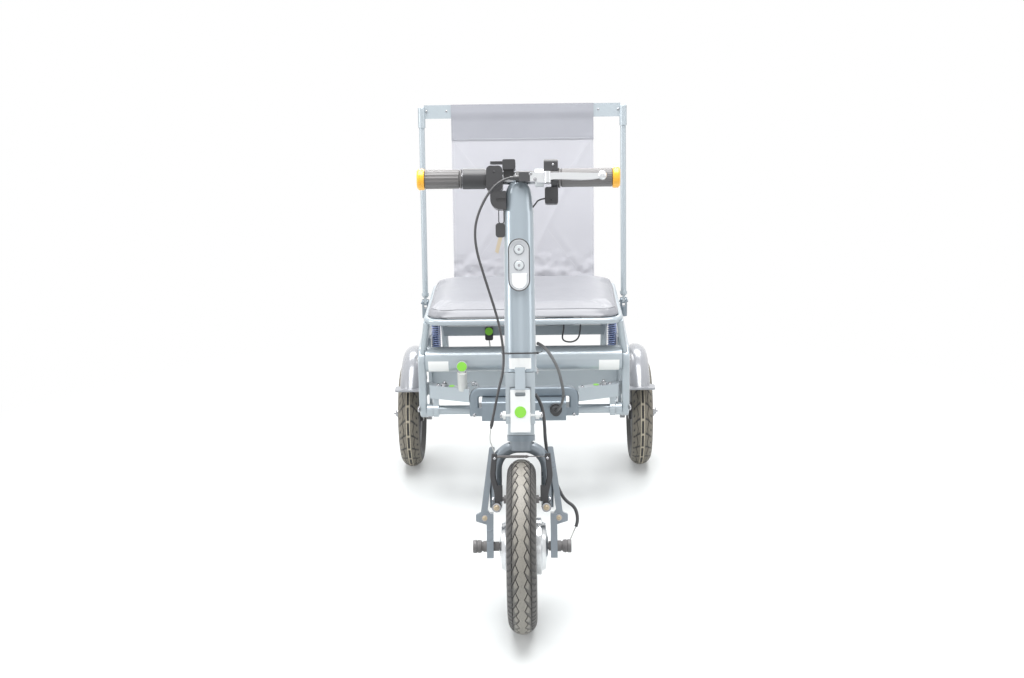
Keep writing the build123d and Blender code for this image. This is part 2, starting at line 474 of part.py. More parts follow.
front_strut = rod((RAIL_X, rail_front + 14, RAIL_Z - 3), (SIDE_X - 3, CROSS_Y - 4, CROSS_Z + 16), 14)
front_strut = front_strut - seat_frame - side_frame - cross_tube
rear_strut = rod((RAIL_X, REAR_Y, RAIL_Z - 3), (SIDE_X - 4, REAR_Y + 6, BACK_PIN_Z - 29), 14) - seat_frame - side_frame
post_x = 181.0
post = rod((post_x, REAR_Y - 146, RAIL_Z - 3), (post_x, beam_y - 2, 240), 15)
post = post - rear_beam - block(-300, 300, 600, REAR_Y + 60, 100, 240) - seat_frame
save("seat_struts", *both(front_strut), *both(rear_strut), *both(post))
under_y = REAR_Y - UNDER_FWD
under_bar = block(-post_x, post_x, under_y - 7, under_y + 7, UNDER_Z - 11, UNDER_Z + 11)
under_bar -= post + mirrored(post)
save("under_bar", under_bar)

# springs between shelves on the side frames and cups under the seat rail
cup = rod_z(SPRING_X, spring_y, SPRING_HI, SPRING_HI + 4, 25) + rod_z(SPRING_X + 3, spring_y, SPRING_HI + 3, RAIL_Z - 2, 11)
save("spring_cups", *both(cup - seat_frame))
coil_mid = (COIL_D - WIRE_D) / 2
spring = rod_z(SPRING_X, spring_y, SPRING_LO, SPRING_HI, COIL_D - 2 * WIRE_D + 1)
coil_step = (SPRING_HI - SPRING_LO - WIRE_D) / (COILS - 1)
for k in range(COILS):
    spring += Pos(SPRING_X, spring_y, SPRING_LO + WIRE_D / 2 + k * coil_step) * Torus(coil_mid, WIRE_D / 2)
save("springs", *both(spring))

catch = block(-88, -70, under_y - 15, under_y - 7, UNDER_Z - 20, UNDER_Z + 11)
save("under_seat_latch", fillet(catch.edges().filter_by(Axis.Y), 4))
tray_hi = RAIL_Z - 8.8
battery = block(48, 112, REAR_Y - 105, REAR_Y + 3, tray_hi - 34, tray_hi) - seat_frame
save("battery_box", battery)

# backrest hinges: slotted sockets that stand on the side frames
socket_lo = BACK_PIN_Z - 36
socket_end = rod_z(BACK_X, BACK_PIN_Y, BACK_PIN_Z - 1, BACK_PIN_Z + 8.5, 17)
socket_end &= bar_x(BACK_X - 9, BACK_X + 9, BACK_PIN_Y, BACK_PIN_Z, 17)
hinge = rod_z(BACK_X, BACK_PIN_Y, socket_lo, BACK_PIN_Z, 17) + socket_end
hinge += block(SIDE_X + 2, BACK_X, BACK_PIN_Y - 8, BACK_PIN_Y + 8, socket_lo, BACK_PIN_Z - 22)
hinge -= block(BACK_X - 3.5, BACK_X + 3.5, BACK_PIN_Y - 20, BACK_PIN_Y + 20, BACK_PIN_Z - 12, BACK_PIN_Z + 20)
hinge = hinge - side_frame + bar_x(BACK_X - 10.5, BACK_X + 10.5, BACK_PIN_Y, BACK_PIN_Z, BACK_PIN_D)
save("back_hinges", *both(hinge))

# ================================================================ backrest, drawn about its pins
tongue = block(BACK_X - 3, BACK_X + 3, -6, 6, 0, 16) + bar_x(BACK_X - 3, BACK_X + 3, 0, 0, 12)
tongue -= bar_x(BACK_X - 9, BACK_X + 9, 0, 0, BACK_PIN_D + 2 * FIT)
post_tube = rod_z(BACK_X, 0, 13, BACK_LEN + 9, BACK_D)
post_tube += rod_z(BACK_X, 0, 16, 23, BACK_D + 4) + rod_z(BACK_X, 0, BACK_LEN - 36, BACK_LEN + 12, BACK_D + 4)
corner = fillet(post_tube.faces().sort_by(Axis.Z)[-1].edges(), 4)
half_h = BACK_BAR_H / 2
top_bar = block(PANEL_HALF - 8, BACK_X - 6, -2.5, 2.5, BACK_LEN - half_h, BACK_LEN + half_h)
save("back_frame", *[BACK * t for t in both(tongue + corner + top_bar)])
slot = block(PANEL_HALF - 9, PANEL_HALF + 1, -3, 3, BACK_LEN - half_h - 0.5, PANEL_HI + 1)
panel = block(-PANEL_HALF, PANEL_HALF, -6, 6, PANEL_LO, PANEL_HI) - slot - mirrored(slot)
save("back_fabric", BACK * panel)

# ================================================================ rear wheels
rear_rim_r = REAR_R - REAR_H * BEAD
for name, side in (("left", 1), ("right", -1)):
    rear_tyre = tyre(side * REAR_X, REAR_R, REAR_W, REAR_H, REAR_Y, REAR_R)
    half_wheel = [(26, STUB_D / 2 + FIT), (26, 20), (8, 22), (7, 60), (14, 68), (16, rear_rim_r - 2), (14, rear_rim_r)]
    outline = [(-x, r) for x, r in half_wheel] + list(reversed(half_wheel))
    wheel = turned([(side * REAR_X + x, r) for x, r in outline], REAR_Y, REAR_R)
    for k in range(5):
        a = radians(90 + 72 * k)
        wheel -= bar_x(side * REAR_X - 20, side * REAR_X + 20, REAR_Y + 41 * cos(a), REAR_R + 41 * sin(a), 27)
    save(f"rear_tyre_{name}", rear_tyre)
    save(f"rear_wheel_{name}", wheel)

# ================================================================ cords
# each follows the parts that hold it; the points are chosen along its route
brake_lower = pipe([(-36, -50, FOLD_H - 6), (-42, -47, 262), (-48, -38, 214), (-46, -29, 168.5)], 4.5, [80, 60])
boot = rod((-46, -29, BRAKE_TOP_H - 1), (46, -29, BRAKE_TOP_H - 1), 5.5) - arm - mirrored(arm)
save("brake_cable_lower", STEER * brake_lower, STEER * boot)
brake_upper = pipe([(-15, -25, BAR_H - 2), (-40, -34, BAR_H - 8), (-80, -46, BAR_H - 68), (-84, -50, BAR_H - 120),
                    (-66, -46, BAR_H - 190), (-44, -42, 400), (-32, -37, FOLD_H + 8)], 4.5, [24, 60, 90, 150, 120])
save("brake_cable_upper", STEER * (brake_upper - lever - column))
switch_lead = pipe([(50, 2, BAR_H - 36), (36, 2, BAR_H - 38), (22, 2, BAR_H - 62)], 3, 15)
save("switch_lead", STEER * (switch_lead - column - pod))
motor_cord = pipe([(86, 0, 11), (92, 3, 24), (101, 7, 44), (96, 13, 68), (76, 17, 80), (62, 20, 110), (50, 19, 146), (43, 12, 186),
                   (42, 8, 226), (36, 7, 258), (25.5, 5, 272)], 6, [30, 24, 16, 24, 40, 60, 60, 80, 40])
save("motor_cable", STEER * (motor_cord - axle - fork - base))
harness = pipe([(plug_x, BOX_FRONT - 21, plug_z), (76, 462, 262), (80, 424, 300), (74, 360, 346), (64, 262, 408), (50, 170, 462),
                (40, 100, 498)], 6, [24, 50, 90, 150, 150])
save("harness", harness - plug)
lead_y = REAR_Y - 150
seat_lead = pipe([(86, lead_y + 47, tray_hi - 24), (90, lead_y + 8, tray_hi - 30), (90, lead_y, tray_hi - 73),
                  (125, lead_y, tray_hi - 73), (127, lead_y, tray_hi + 2)], 3.5, [17, 16.5, 16.5])
save("seat_lead", seat_lead - seat_frame - battery)
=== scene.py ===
import json
from math import sin, cos, pi, radians, hypot, exp

import bmesh
import bpy
from mathutils import Matrix, Vector, noise


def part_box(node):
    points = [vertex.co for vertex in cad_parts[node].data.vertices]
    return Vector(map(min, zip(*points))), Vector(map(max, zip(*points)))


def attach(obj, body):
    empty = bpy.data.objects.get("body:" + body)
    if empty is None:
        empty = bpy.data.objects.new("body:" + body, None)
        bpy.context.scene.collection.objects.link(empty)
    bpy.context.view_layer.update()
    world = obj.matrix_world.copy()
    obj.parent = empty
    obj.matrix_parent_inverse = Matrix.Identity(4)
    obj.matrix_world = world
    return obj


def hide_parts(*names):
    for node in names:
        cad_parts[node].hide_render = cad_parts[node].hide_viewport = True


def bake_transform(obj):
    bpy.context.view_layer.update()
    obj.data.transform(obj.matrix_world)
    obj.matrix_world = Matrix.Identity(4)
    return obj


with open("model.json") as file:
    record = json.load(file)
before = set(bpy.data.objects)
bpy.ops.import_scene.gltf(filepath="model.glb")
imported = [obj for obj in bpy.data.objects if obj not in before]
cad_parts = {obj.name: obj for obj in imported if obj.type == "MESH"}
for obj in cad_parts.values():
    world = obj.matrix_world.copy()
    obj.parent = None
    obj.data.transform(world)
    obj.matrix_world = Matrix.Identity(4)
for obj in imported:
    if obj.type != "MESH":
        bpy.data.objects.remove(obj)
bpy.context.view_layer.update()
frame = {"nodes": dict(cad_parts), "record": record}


# ---------------------------------------------------------------- places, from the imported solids
# Shapes are written in millimetres and set down by a matrix: V is the vehicle (y from the front
# axle, z from the ground), S the steering parts (z up the leaning steering axis, from the front
# axle), B the backrest (z up from its pins), and HERE is for points that are in metres already.
def middle(name):
    """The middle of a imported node, in metres."""
    lo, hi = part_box(name)
    return [(a + b) / 2 for a, b in zip(lo, hi)]


_, FRONT_Y, FRONT_Z = middle("front_tyre")
REAR_X, REAR_Y, REAR_Z = middle("rear_tyre_left")
FRONT_R, REAR_R = FRONT_Z * 1000, REAR_Z * 1000      # a tyre's radius is its axle's height, mm
LEAN, BACK_LEAN = radians(15), radians(8)
BACK_PIN_Y, BACK_PIN_Z = 0.876, 0.391                # the backrest's pins: behind the front axle, and up, m
BAR_H, FOLD_H = 658, 312                             # handlebar and fold pin, up the steering axis, mm
HERE = Matrix.Identity(4)
MM = Matrix.Scale(0.001, 4)
V = Matrix.Translation((0, FRONT_Y, 0)) @ MM
S = Matrix.Translation((0, FRONT_Y, FRONT_Z)) @ Matrix.Rotation(-LEAN, 4, "X") @ MM
B = Matrix.Translation((0, FRONT_Y + BACK_PIN_Y, BACK_PIN_Z)) @ Matrix.Rotation(-BACK_LEAN, 4, "X") @ MM
FRONT_HUB = Matrix.Translation((0, FRONT_Y, FRONT_Z)) @ MM
REAR_HUB = {side: Matrix.Translation((side * REAR_X, REAR_Y, REAR_Z)) @ MM for side in (1, -1)}
SIDES = ((1, "left"), (-1, "right"))                 # the rider's left is +x

# ---------------------------------------------------------------- materials
BLOTCH = 18.0               # scale of the soft mottling
RELIEF = 0.0004             # depth of the fine relief, m
COAT_ROUGH = 0.12
WEAVE_PITCH = 260           # scale of the threads
WEAVE_RELIEF = 0.0003       # depth of the threads, m
WEAVE_SHARE = 0.35          # how much the threads show in the cloth's colour


def rgb(r, g, b):
    """A colour written as on a screen, 0 to 255, as the shader's linear values."""
    shares = [c / 255 for c in (r, g, b)]
    return tuple(((c + 0.055) / 1.055) ** 2.4 if c > 10 / 255 else c / 12.92 for c in shares) + (1.0,)


def node(owner, kind, **settings):
    """A new node of a material or world; each setting is one of its inputs or properties."""
    n = owner.node_tree.nodes.new(kind)
    for key, value in settings.items():
        name = key.replace("_", " ")
        if name in n.inputs:
            n.inputs[name].default_value = value
        else:
            setattr(n, key, value)
    return n


def feed(owner, source, target):
    """Links a socket to an input, or sets the input to a value."""
    if isinstance(source, bpy.types.NodeSocket):
        owner.node_tree.links.new(source, target)
    else:
        target.default_value = source


def mixed(owner, factor, a, b):
    """A mix of two colours; factor, a and b are each a value or a socket."""
    n = node(owner, "ShaderNodeMix", data_type="RGBA")
    for name, source in (("Factor", factor), ("A", a), ("B", b)):
        feed(owner, source, n.inputs[name])
    return n.outputs["Result"]


def maths(owner, operation, a, b):
    n = node(owner, "ShaderNodeMath", operation=operation)
    feed(owner, a, n.inputs[0])
    feed(owner, b, n.inputs[1])
    return n.outputs["Value"]


def remapped(owner, value, **limits):
    n = node(owner, "ShaderNodeMapRange", **limits)
    feed(owner, value, n.inputs["Value"])
    return n.outputs["Result"]


def places(owner):
    """The object's own coordinates, which move with it, from one node that its finish shares."""
    have = [n for n in owner.node_tree.nodes if n.bl_idname == "ShaderNodeTexCoord"]
    return (have or [node(owner, "ShaderNodeTexCoord")])[0].outputs["Object"]


def shader_of(mat):
    return mat.node_tree.nodes["Principled BSDF"]


def overlay(mat, factor, colour):
    """Mixes a colour into what feeds the base colour already."""
    target = shader_of(mat).inputs["Base Color"]
    feed(mat, mixed(mat, factor, target.links[0].from_socket, colour), target)


def material(name, colour, rough=0.4, metal=0.0, coat=0.0, vary=0.08, grain=400.0, bump=0.02, second=None,
             stretch=(1, 1, 1), spec=0.5, sheen=0.0, mask=None):
    """A finish with mottled colour, uneven gloss and fine relief. The mesh attribute that mask names
    mixes in the colour second, in patches."""
    mat = bpy.data.materials.new(name)
    mat.use_nodes = True
    shader = shader_of(mat)
    for key, value in (("Metallic", metal), ("Coat Weight", coat), ("Coat Roughness", COAT_ROUGH),
                       ("Specular IOR Level", spec), ("Sheen Weight", sheen)):
        shader.inputs[key].default_value = value
    mapping = node(mat, "ShaderNodeMapping", Scale=stretch)
    cloud = node(mat, "ShaderNodeTexNoise", Scale=BLOTCH, Detail=4.0)
    fine = node(mat, "ShaderNodeTexNoise", Scale=grain, Detail=2.0)
    feed(mat, places(mat), mapping.inputs["Vector"])
    feed(mat, places(mat), cloud.inputs["Vector"])
    feed(mat, mapping.outputs["Vector"], fine.inputs["Vector"])
    blotch = tuple(c * (1 - vary * 2.2) for c in colour[:3]) + (1.0,)
    feed(mat, mixed(mat, cloud.outputs["Fac"], colour, blotch), shader.inputs["Base Color"])
    if second is not None:
        amount = node(mat, "ShaderNodeAttribute", attribute_name=mask).outputs["Fac"]
        patch = remapped(mat, fine.outputs["Fac"], From_Min=-0.4, From_Max=0.5)
        overlay(mat, maths(mat, "MULTIPLY", amount, patch), second)
    gloss = remapped(mat, cloud.outputs["Fac"], To_Min=rough * 0.85, To_Max=min(1.0, rough * 1.2))
    feed(mat, gloss, shader.inputs["Roughness"])
    relief = node(mat, "ShaderNodeBump", Strength=min(1.0, bump * 10), Distance=RELIEF)
    feed(mat, fine.outputs["Fac"], relief.inputs["Height"])
    feed(mat, relief.outputs["Normal"], shader.inputs["Normal"])
    return mat


def weave(name, colour, dark):
    """Coated woven cloth: crossed threads in relief, with soft blotches."""
    mat = material(name, colour, rough=0.5, vary=0.05, grain=900, spec=0.35, sheen=0.15)
    waves = []
    for axis in ("X", "Z"):
        wave = node(mat, "ShaderNodeTexWave", Scale=WEAVE_PITCH, Distortion=0.2, bands_direction=axis)
        feed(mat, places(mat), wave.inputs["Vector"])
        waves.append(wave.outputs["Fac"])
    threads = maths(mat, "MULTIPLY", *waves)
    overlay(mat, WEAVE_SHARE, mixed(mat, threads, dark, colour))
    relief = mat.node_tree.nodes["Bump"]
    relief.inputs["Strength"].default_value = 0.5
    relief.inputs["Distance"].default_value = WEAVE_RELIEF
    feed(mat, threads, relief.inputs["Height"])
    return mat


def banded(name, first, second, direction, limit):
    """A finish that changes once along a direction of the part, such as a painted end on a plated piece.
    first is colour, roughness and metal; second is colour and metal."""
    mat = material(name, first[0], rough=first[1], vary=0.04, grain=900, bump=0.01, coat=0.3)
    place = node(mat, "ShaderNodeVectorMath", operation="DOT_PRODUCT")
    feed(mat, places(mat), place.inputs[0])
    feed(mat, direction, place.inputs[1])
    beyond = maths(mat, "GREATER_THAN", place.outputs["Value"], limit)
    overlay(mat, beyond, second[0])
    feed(mat, remapped(mat, beyond, To_Min=first[2], To_Max=second[1]), shader_of(mat).inputs["Metallic"])
    return mat


PAINT = material("paint_blue_grey", rgb(167, 176, 182), rough=0.3, metal=0.3, coat=0.4, vary=0.03,
                 grain=3000, bump=0.006)
# the column is the frame's paint, in its own copy whose tone is set for how light falls on the column:
# painted light and shade
PAINT_COLUMN_PAINTED_LIGHT = material("paint_column_painted_light", rgb(160, 171, 179), rough=0.24, metal=0.35, coat=0.6, vary=0.02,
                       grain=3000, bump=0.004)
PAINT_FORK = material("paint_fork", rgb(134, 143, 151), rough=0.28, metal=0.3, coat=0.5, vary=0.04,
                      grain=2500, bump=0.006)
# the slate paint is the real dark paint of its own parts; on the fold bow, whose paint is the frame's, it is
# painted shade on the bow's front
PAINT_SLATE_AND_BOW_SHADE = material("paint_slate_and_bow_shade", rgb(126, 137, 146), rough=0.3, metal=0.3, coat=0.4, vary=0.04,
                      grain=2500, bump=0.006)
GUARD = material("guard_gloss", rgb(144, 146, 151), rough=0.2, metal=0.1, coat=0.5, vary=0.03, grain=600,
                 bump=0.004)
RUBBER_TYRE = material("tyre_rubber", rgb(60, 59, 59), rough=0.5, vary=0.1, grain=420, bump=0.04,
                       second=rgb(150, 146, 138), mask="tread")
RUBBER_REAR = material("tyre_rubber_rear", rgb(62, 61, 60), rough=0.55, vary=0.12, grain=300, bump=0.05,
                       spec=0.45, second=rgb(198, 188, 168), mask="tread")
RUBBER = material("grip_rubber", rgb(114, 112, 112), rough=0.45, grain=900, bump=0.05)
PLASTIC = material("plastic_black", rgb(62, 62, 64), rough=0.34, grain=1500, bump=0.03)
STEEL = material("steel_bright", rgb(176, 177, 180), rough=0.24, metal=0.95, grain=500, bump=0.01)
ALLOY = material("alloy_polished", rgb(216, 218, 220), rough=0.2, metal=0.9, vary=0.05, grain=700,
                 bump=0.008, stretch=(1, 9, 9))
BRASS = material("gold_passivate", rgb(198, 184, 160), rough=0.28, metal=0.9, vary=0.12)
AMBER = material("amber_plastic", rgb(252, 184, 44), rough=0.28, coat=0.4, vary=0.04, grain=600, bump=0.008)
VINYL = material("seat_vinyl", rgb(136, 137, 142), rough=0.42, coat=0.06, vary=0.03, grain=1100, bump=0.025)
CLOTH = weave("back_cloth", rgb(190, 190, 196), rgb(160, 161, 168))
CLOTH_BAND = weave("back_cloth_double", rgb(160, 161, 168), rgb(132, 134, 142))
BLUE = material("spring_blue", rgb(146, 162, 208), rough=0.3, metal=0.15, coat=0.5, vary=0.06, grain=500,
                bump=0.01)
CORD = material("cable_black", rgb(70, 70, 72), rough=0.36, grain=600, bump=0.015)
WIRE = material("wire_bare", rgb(190, 190, 188), rough=0.35, metal=0.6, vary=0.06, grain=900)
WHITE = material("plate_white", rgb(232, 233, 232), rough=0.3, coat=0.2, vary=0.02, grain=500, bump=0.004)
GREEN = material("dot_green", rgb(134, 208, 66), rough=0.42, coat=0.2, vary=0.03, grain=500, bump=0.004)
LENS = material("lens_clear", rgb(196, 201, 204), rough=0.07, vary=0.02, grain=300, bump=0.008, spec=0.6,
                coat=0.6)
LAMP = material("lamp_silver", rgb(198, 201, 205), rough=0.26, metal=0.4, coat=0.4, vary=0.03, grain=300,
                bump=0.006)
KNURL = material("lever_sleeve", rgb(206, 208, 206), rough=0.5, metal=0.3, vary=0.12, grain=700, bump=0.2)
THREAD = material("thread_pale", rgb(206, 207, 211), rough=0.6, vary=0.05, grain=800)

# the latch's plate is white up to its painted hook, the key hangs below the black lock, and the
# brake lever's blade is bright beyond its black perch
STEER_UP = (S.to_3x3() @ Vector((0, 0, 1))).normalized()
HOOK_H, LOCK_H, PERCH_X = 282, 552, 0.021


def up_the_column(w):
    """A distance up the leaning steering axis, as the dot product with STEER_UP that banded() compares."""
    return STEER_UP.dot(S @ Vector((0, 0, w)))


LATCH = banded("latch_plate", (rgb(228, 230, 230), 0.3, 0.0), (rgb(170, 180, 187), 0.5), STEER_UP,
               up_the_column(HOOK_H))
KEY = banded("lock_and_key", (rgb(198, 186, 164), 0.3, 0.8), (rgb(58, 58, 60), 0.0), STEER_UP,
             up_the_column(LOCK_H))
LEVER = banded("lever_alloy", (rgb(66, 66, 68), 0.3, 0.0), (rgb(214, 216, 218), 0.85), (1, 0, 0), PERCH_X)

FINISH = {
    "frame_paint": PAINT, "dark_paint": PAINT_SLATE_AND_BOW_SHADE, "tyre": RUBBER_TYRE, "alloy": ALLOY, "steel": STEEL,
    "black_plastic": PLASTIC, "guard_plastic": GUARD, "rubber": RUBBER, "amber_plastic": AMBER,
    "seat_vinyl": VINYL, "back_cloth": CLOTH, "blue_steel": BLUE, "lens": LENS, "cord": CORD,
    "white_plate": WHITE,
}
# nodes whose finish isn't the plain one of their slot
OWN_FINISH = {
    # the column's copy of the frame paint is toned for the light on the column: painted light and shade
    # the fold bow is frame paint, given the slate paint as painted shade on its front
    "column": PAINT_COLUMN_PAINTED_LIGHT, "fork": PAINT_FORK, "hinge_base": PAINT, "fold_bow": PAINT_SLATE_AND_BOW_SHADE,
    "latch_lever": LATCH, "ignition_lock": KEY, "brake_lever": LEVER, "fold_lever": KNURL, "headlight": LAMP,
}
for info in frame["record"]["subparts"]:
    solid = frame["nodes"][info["node"]]
    finish = OWN_FINISH.get(info["node"], FINISH[info["material_slot"]])
    if not solid.material_slots:
        solid.data.materials.append(finish)
    for slot in solid.material_slots:
        slot.material = finish


# ---------------------------------------------------------------- mesh tools
def piece(name, verts, faces, place, body, mat, slot, hides=(), sharp=35):
    """A mesh piece from points set down by the matrix place, smooth but for edges sharper than sharp
    degrees, riding on a body. It stands for the nodes in hides."""
    mesh = bpy.data.meshes.new(name)
    mesh.from_pydata([place @ Vector(v) for v in verts], [], faces)
    bm = bmesh.new()
    bm.from_mesh(mesh)
    bmesh.ops.recalc_face_normals(bm, faces=bm.faces)
    for f in bm.faces:
        f.smooth = True
    for e in bm.edges:
        if len(e.link_faces) == 2 and e.calc_face_angle(0) > radians(sharp):
            e.smooth = False
    bm.to_mesh(mesh)
    bm.free()
    mesh.materials.append(mat)
    obj = bpy.data.objects.new(name, mesh)
    bpy.context.scene.collection.objects.link(obj)
    if body:
        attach(obj, body)
    if hides:
        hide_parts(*hides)
    return obj


def loft(rings, loop=False):
    """Joins rings of equal count into a skin, closed by end faces or, as a loop, on itself."""
    n, count = len(rings[0]), len(rings)
    verts = [p for ring in rings for p in ring]
    faces = []
    for i in range(count if loop else count - 1):
        a, b = i * n, (i + 1) % count * n
        faces += [(a + j, a + (j + 1) % n, b + (j + 1) % n, b + j) for j in range(n)]
    if not loop:
        faces.append(tuple(range(n))[::-1])
        faces.append(tuple((count - 1) * n + j for j in range(n)))
    return verts, faces


def across(axis):
    """Two directions square to an axis."""
    side = axis.cross(Vector((0, 0, 1)) if abs(axis.z) < 0.9 else Vector((1, 0, 0))).normalized()
    return side, axis.cross(side).normalized()


def ring(centre, axis, r, n, six=False):
    """A round ring of n points, or a six-sided one with r as half the width across flats."""
    u, v = across(axis)
    points = []
    for k in range(n):
        a = 2 * pi * k / n
        d = r / cos((a % (pi / 3)) - pi / 6) if six else r
        points.append(centre + u * d * cos(a) + v * d * sin(a))
    return points


def turned(start, axis, profile, n=24):
    """A skin turned about an axis from (distance, radius[, six]) steps."""
    axis = Vector(axis).normalized()
    return loft([ring(Vector(start) + axis * step[0], axis, step[1], n, len(step) > 2) for step in profile])


def tube(points, r, n=12):
    """A round skin along points, with its section carried along without twist."""
    pts = [Vector(p) for p in points]
    last = len(pts) - 1
    dirs = [(pts[min(i + 1, last)] - pts[max(i - 1, 0)]).normalized() for i in range(len(pts))]
    side = across(dirs[0])[0]
    rings = []
    for p, run in zip(pts, dirs):
        side = (side - run * side.dot(run)).normalized()
        up = run.cross(side)
        rings.append([p + (side * cos(2 * pi * k / n) + up * sin(2 * pi * k / n)) * r for k in range(n)])
    return loft(rings)


def merged(*parts):
    verts, faces = [], []
    for v, f in parts:
        base = len(verts)
        verts += v
        faces += [tuple(i + base for i in face) for face in f]
    return verts, faces


def moved(part, place):
    return [place @ Vector(v) for v in part[0]], part[1]


def slab(outline, lo, hi, axis=2, bevel=0.6):
    """A plate from an outline in two axes, its rim rounded by a small bevel."""
    first, second = [(1, 2), (0, 2), (0, 1)][axis]
    mid = [sum(p[i] for p in outline) / len(outline) for i in (0, 1)]

    def level(h, inset):
        pts = []
        for p in outline:
            d = Vector((p[0] - mid[0], p[1] - mid[1]))
            d = d * max(0.0, 1 - inset / max(d.length, 1e-6))
            q = [0, 0, 0]
            q[axis], q[first], q[second] = h, mid[0] + d.x, mid[1] + d.y
            pts.append(Vector(q))
        return pts

    return loft([level(lo, bevel), level(lo + bevel, 0), level(hi - bevel, 0), level(hi, bevel)])


def rounded(w, h, r, n=5, cx=0.0, cy=0.0):
    """Outline of a rectangle with round corners."""
    pts = []
    for sx, sy, a0 in ((1, 1, 0), (-1, 1, 90), (-1, -1, 180), (1, -1, 270)):
        for k in range(n + 1):
            a = radians(a0 + 90 * k / n)
            pts.append((cx + sx * (w / 2 - r) + r * cos(a), cy + sy * (h / 2 - r) + r * sin(a)))
    return pts


def disc(r, n, cx=0.0, cy=0.0):
    return [(cx + r * cos(2 * pi * k / n), cy + r * sin(2 * pi * k / n)) for k in range(n)]


# ---------------------------------------------------------------- camera, light, floor
CAMERA_AT, LENS_MM = (0.0349, -2.691, 1.162), 48.41
PAN, DOWN, ROLL = 1.19, 15.27, -0.92    # degrees: round to its left, down, and about its own axis
WORLD_TINT, WORLD_LEVEL = (0.96, 0.965, 0.97, 1), 0.62
FLOOR_HALF = 400                        # the floor reaches the horizon, m
BARE, WHITE_OUT = 0.4, 1.7              # the bare floor shows up to BARE and is white from WHITE_OUT, m
BARE_GLOW = 0.16                        # share of plain white in the bare floor

scene = bpy.context.scene
camera = bpy.data.objects.new("camera", bpy.data.cameras.new("camera"))
scene.collection.objects.link(camera)
camera.data.sensor_width = 36.0
camera.data.lens = LENS_MM
camera.data.clip_end = 900
camera.matrix_world = (Matrix.Translation(CAMERA_AT) @ Matrix.Rotation(radians(PAN), 4, "Z")
                       @ Matrix.Rotation(radians(90 - DOWN), 4, "X") @ Matrix.Rotation(radians(ROLL), 4, "Z"))
scene.camera = camera
scene.view_settings.view_transform = "Standard"


def area_light(name, at, target, size, power):
    data = bpy.data.lights.new(name, "AREA")
    data.shape = "RECTANGLE"
    data.size, data.size_y = size
    data.energy = power
    lamp = bpy.data.objects.new(name, data)
    scene.collection.objects.link(lamp)
    lamp.location = at
    lamp.rotation_euler = (Vector(target) - Vector(at)).to_track_quat("-Z", "Y").to_euler()


area_light("key_top", (0.0, -0.2, 3.0), (0, 0.1, 0.3), (2.4, 2.4), 146)
area_light("side_left", (-2.6, -0.6, 1.5), (0, 0, 0.4), (1.0, 2.0), 30)
area_light("side_right", (2.6, -0.6, 1.4), (0, 0, 0.4), (0.9, 2.0), 11)
area_light("front_low", (0.4, -3.8, 1.3), (0, 0, 0.35), (1.8, 1.0), 3)
area_light("back_top", (0.0, 2.2, 2.2), (0, 0, 0.4), (2.4, 1.0), 46)


def seen(owner):
    """1 where the camera, a reflection or a see-through surface looks, 0 for light that falls on things."""
    rays = node(owner, "ShaderNodeLightPath").outputs
    either = maths(owner, "MAXIMUM", rays["Is Camera Ray"], rays["Is Glossy Ray"])
    return maths(owner, "MAXIMUM", either, rays["Is Transmission Ray"])


def show_white(owner, amount, plain, kind, output):
    """Shows plain white in place of a shader, by an amount from 0 to 1."""
    white = node(owner, kind, Color=(1, 1, 1, 1), Strength=1.0)
    mix = node(owner, "ShaderNodeMixShader")
    for source, target in zip((amount, plain.outputs[0], white.outputs[0]), mix.inputs):
        feed(owner, source, target)
    feed(owner, mix.outputs[0], owner.node_tree.nodes[output].inputs["Surface"])


world = bpy.data.worlds.new("studio")
scene.world = world
world.use_nodes = True
background = world.node_tree.nodes["Background"]
background.inputs["Color"].default_value = WORLD_TINT
background.inputs["Strength"].default_value = WORLD_LEVEL
show_white(world, seen(world), background, "ShaderNodeBackground", "World Output")

floor_mesh = bpy.data.meshes.new("floor")
floor_mesh.from_pydata([(x * FLOOR_HALF, y * FLOOR_HALF, 0) for x, y in ((-1, -1), (1, -1), (1, 1), (-1, 1))],
                       [], [(0, 1, 2, 3)])
floor = bpy.data.objects.new("floor", floor_mesh)
scene.collection.objects.link(floor)
floor_mat = material("floor_pale", rgb(218, 221, 221), rough=0.34, vary=0.02, grain=60, bump=0.0, spec=0.4)
# the bare floor shows round the object and gives way to plain white further off
reach = node(floor_mat, "ShaderNodeVectorMath", operation="LENGTH")
feed(floor_mat, places(floor_mat), reach.inputs[0])
fade = remapped(floor_mat, reach.outputs["Value"], interpolation_type="SMOOTHSTEP",
                From_Min=BARE, From_Max=WHITE_OUT, To_Min=BARE_GLOW, To_Max=1.0)
show_white(floor_mat, maths(floor_mat, "MULTIPLY", seen(floor_mat), fade), shader_of(floor_mat),
           "ShaderNodeEmission", "Material Output")
floor_mesh.materials.append(floor_mat)


# ---------------------------------------------------------------- cables
def spline(name, points, place, bevel=0.0):
    """One smooth NURBS curve whose control points are a route's points."""
    curve = bpy.data.curves.new(name, "CURVE")
    curve.dimensions = "3D"
    curve.bevel_depth = bevel
    curve.bevel_resolution = 4
    curve.resolution_u = 16
    curve.use_fill_caps = bevel > 0
    line = curve.splines.new("NURBS")
    line.points.add(len(points) - 1)
    for p, co in zip(line.points, points):
        p.co = (*(place @ Vector(co)), 1)
    line.order_u = 3
    line.use_endpoint_u = True
    return curve


def cable(name, points, place, diameter, body, hides=(), mat=CORD):
    """A cable that rides on one body, as a curve."""
    curve = spline(name, points, place, diameter / 2000)
    curve.materials.append(mat)
    obj = bpy.data.objects.new(name, curve)
    scene.collection.objects.link(obj)
    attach(obj, body)
    if hides:
        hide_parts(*hides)


def along(points, place):
    """Points read along the smooth curve of a route, in metres."""
    obj = bpy.data.objects.new("line", spline("line", points, place))
    mesh = bpy.data.meshes.new_from_object(obj)
    line = [v.co.copy() for v in mesh.vertices]
    bpy.data.objects.remove(obj)
    bpy.data.meshes.remove(mesh)
    return line


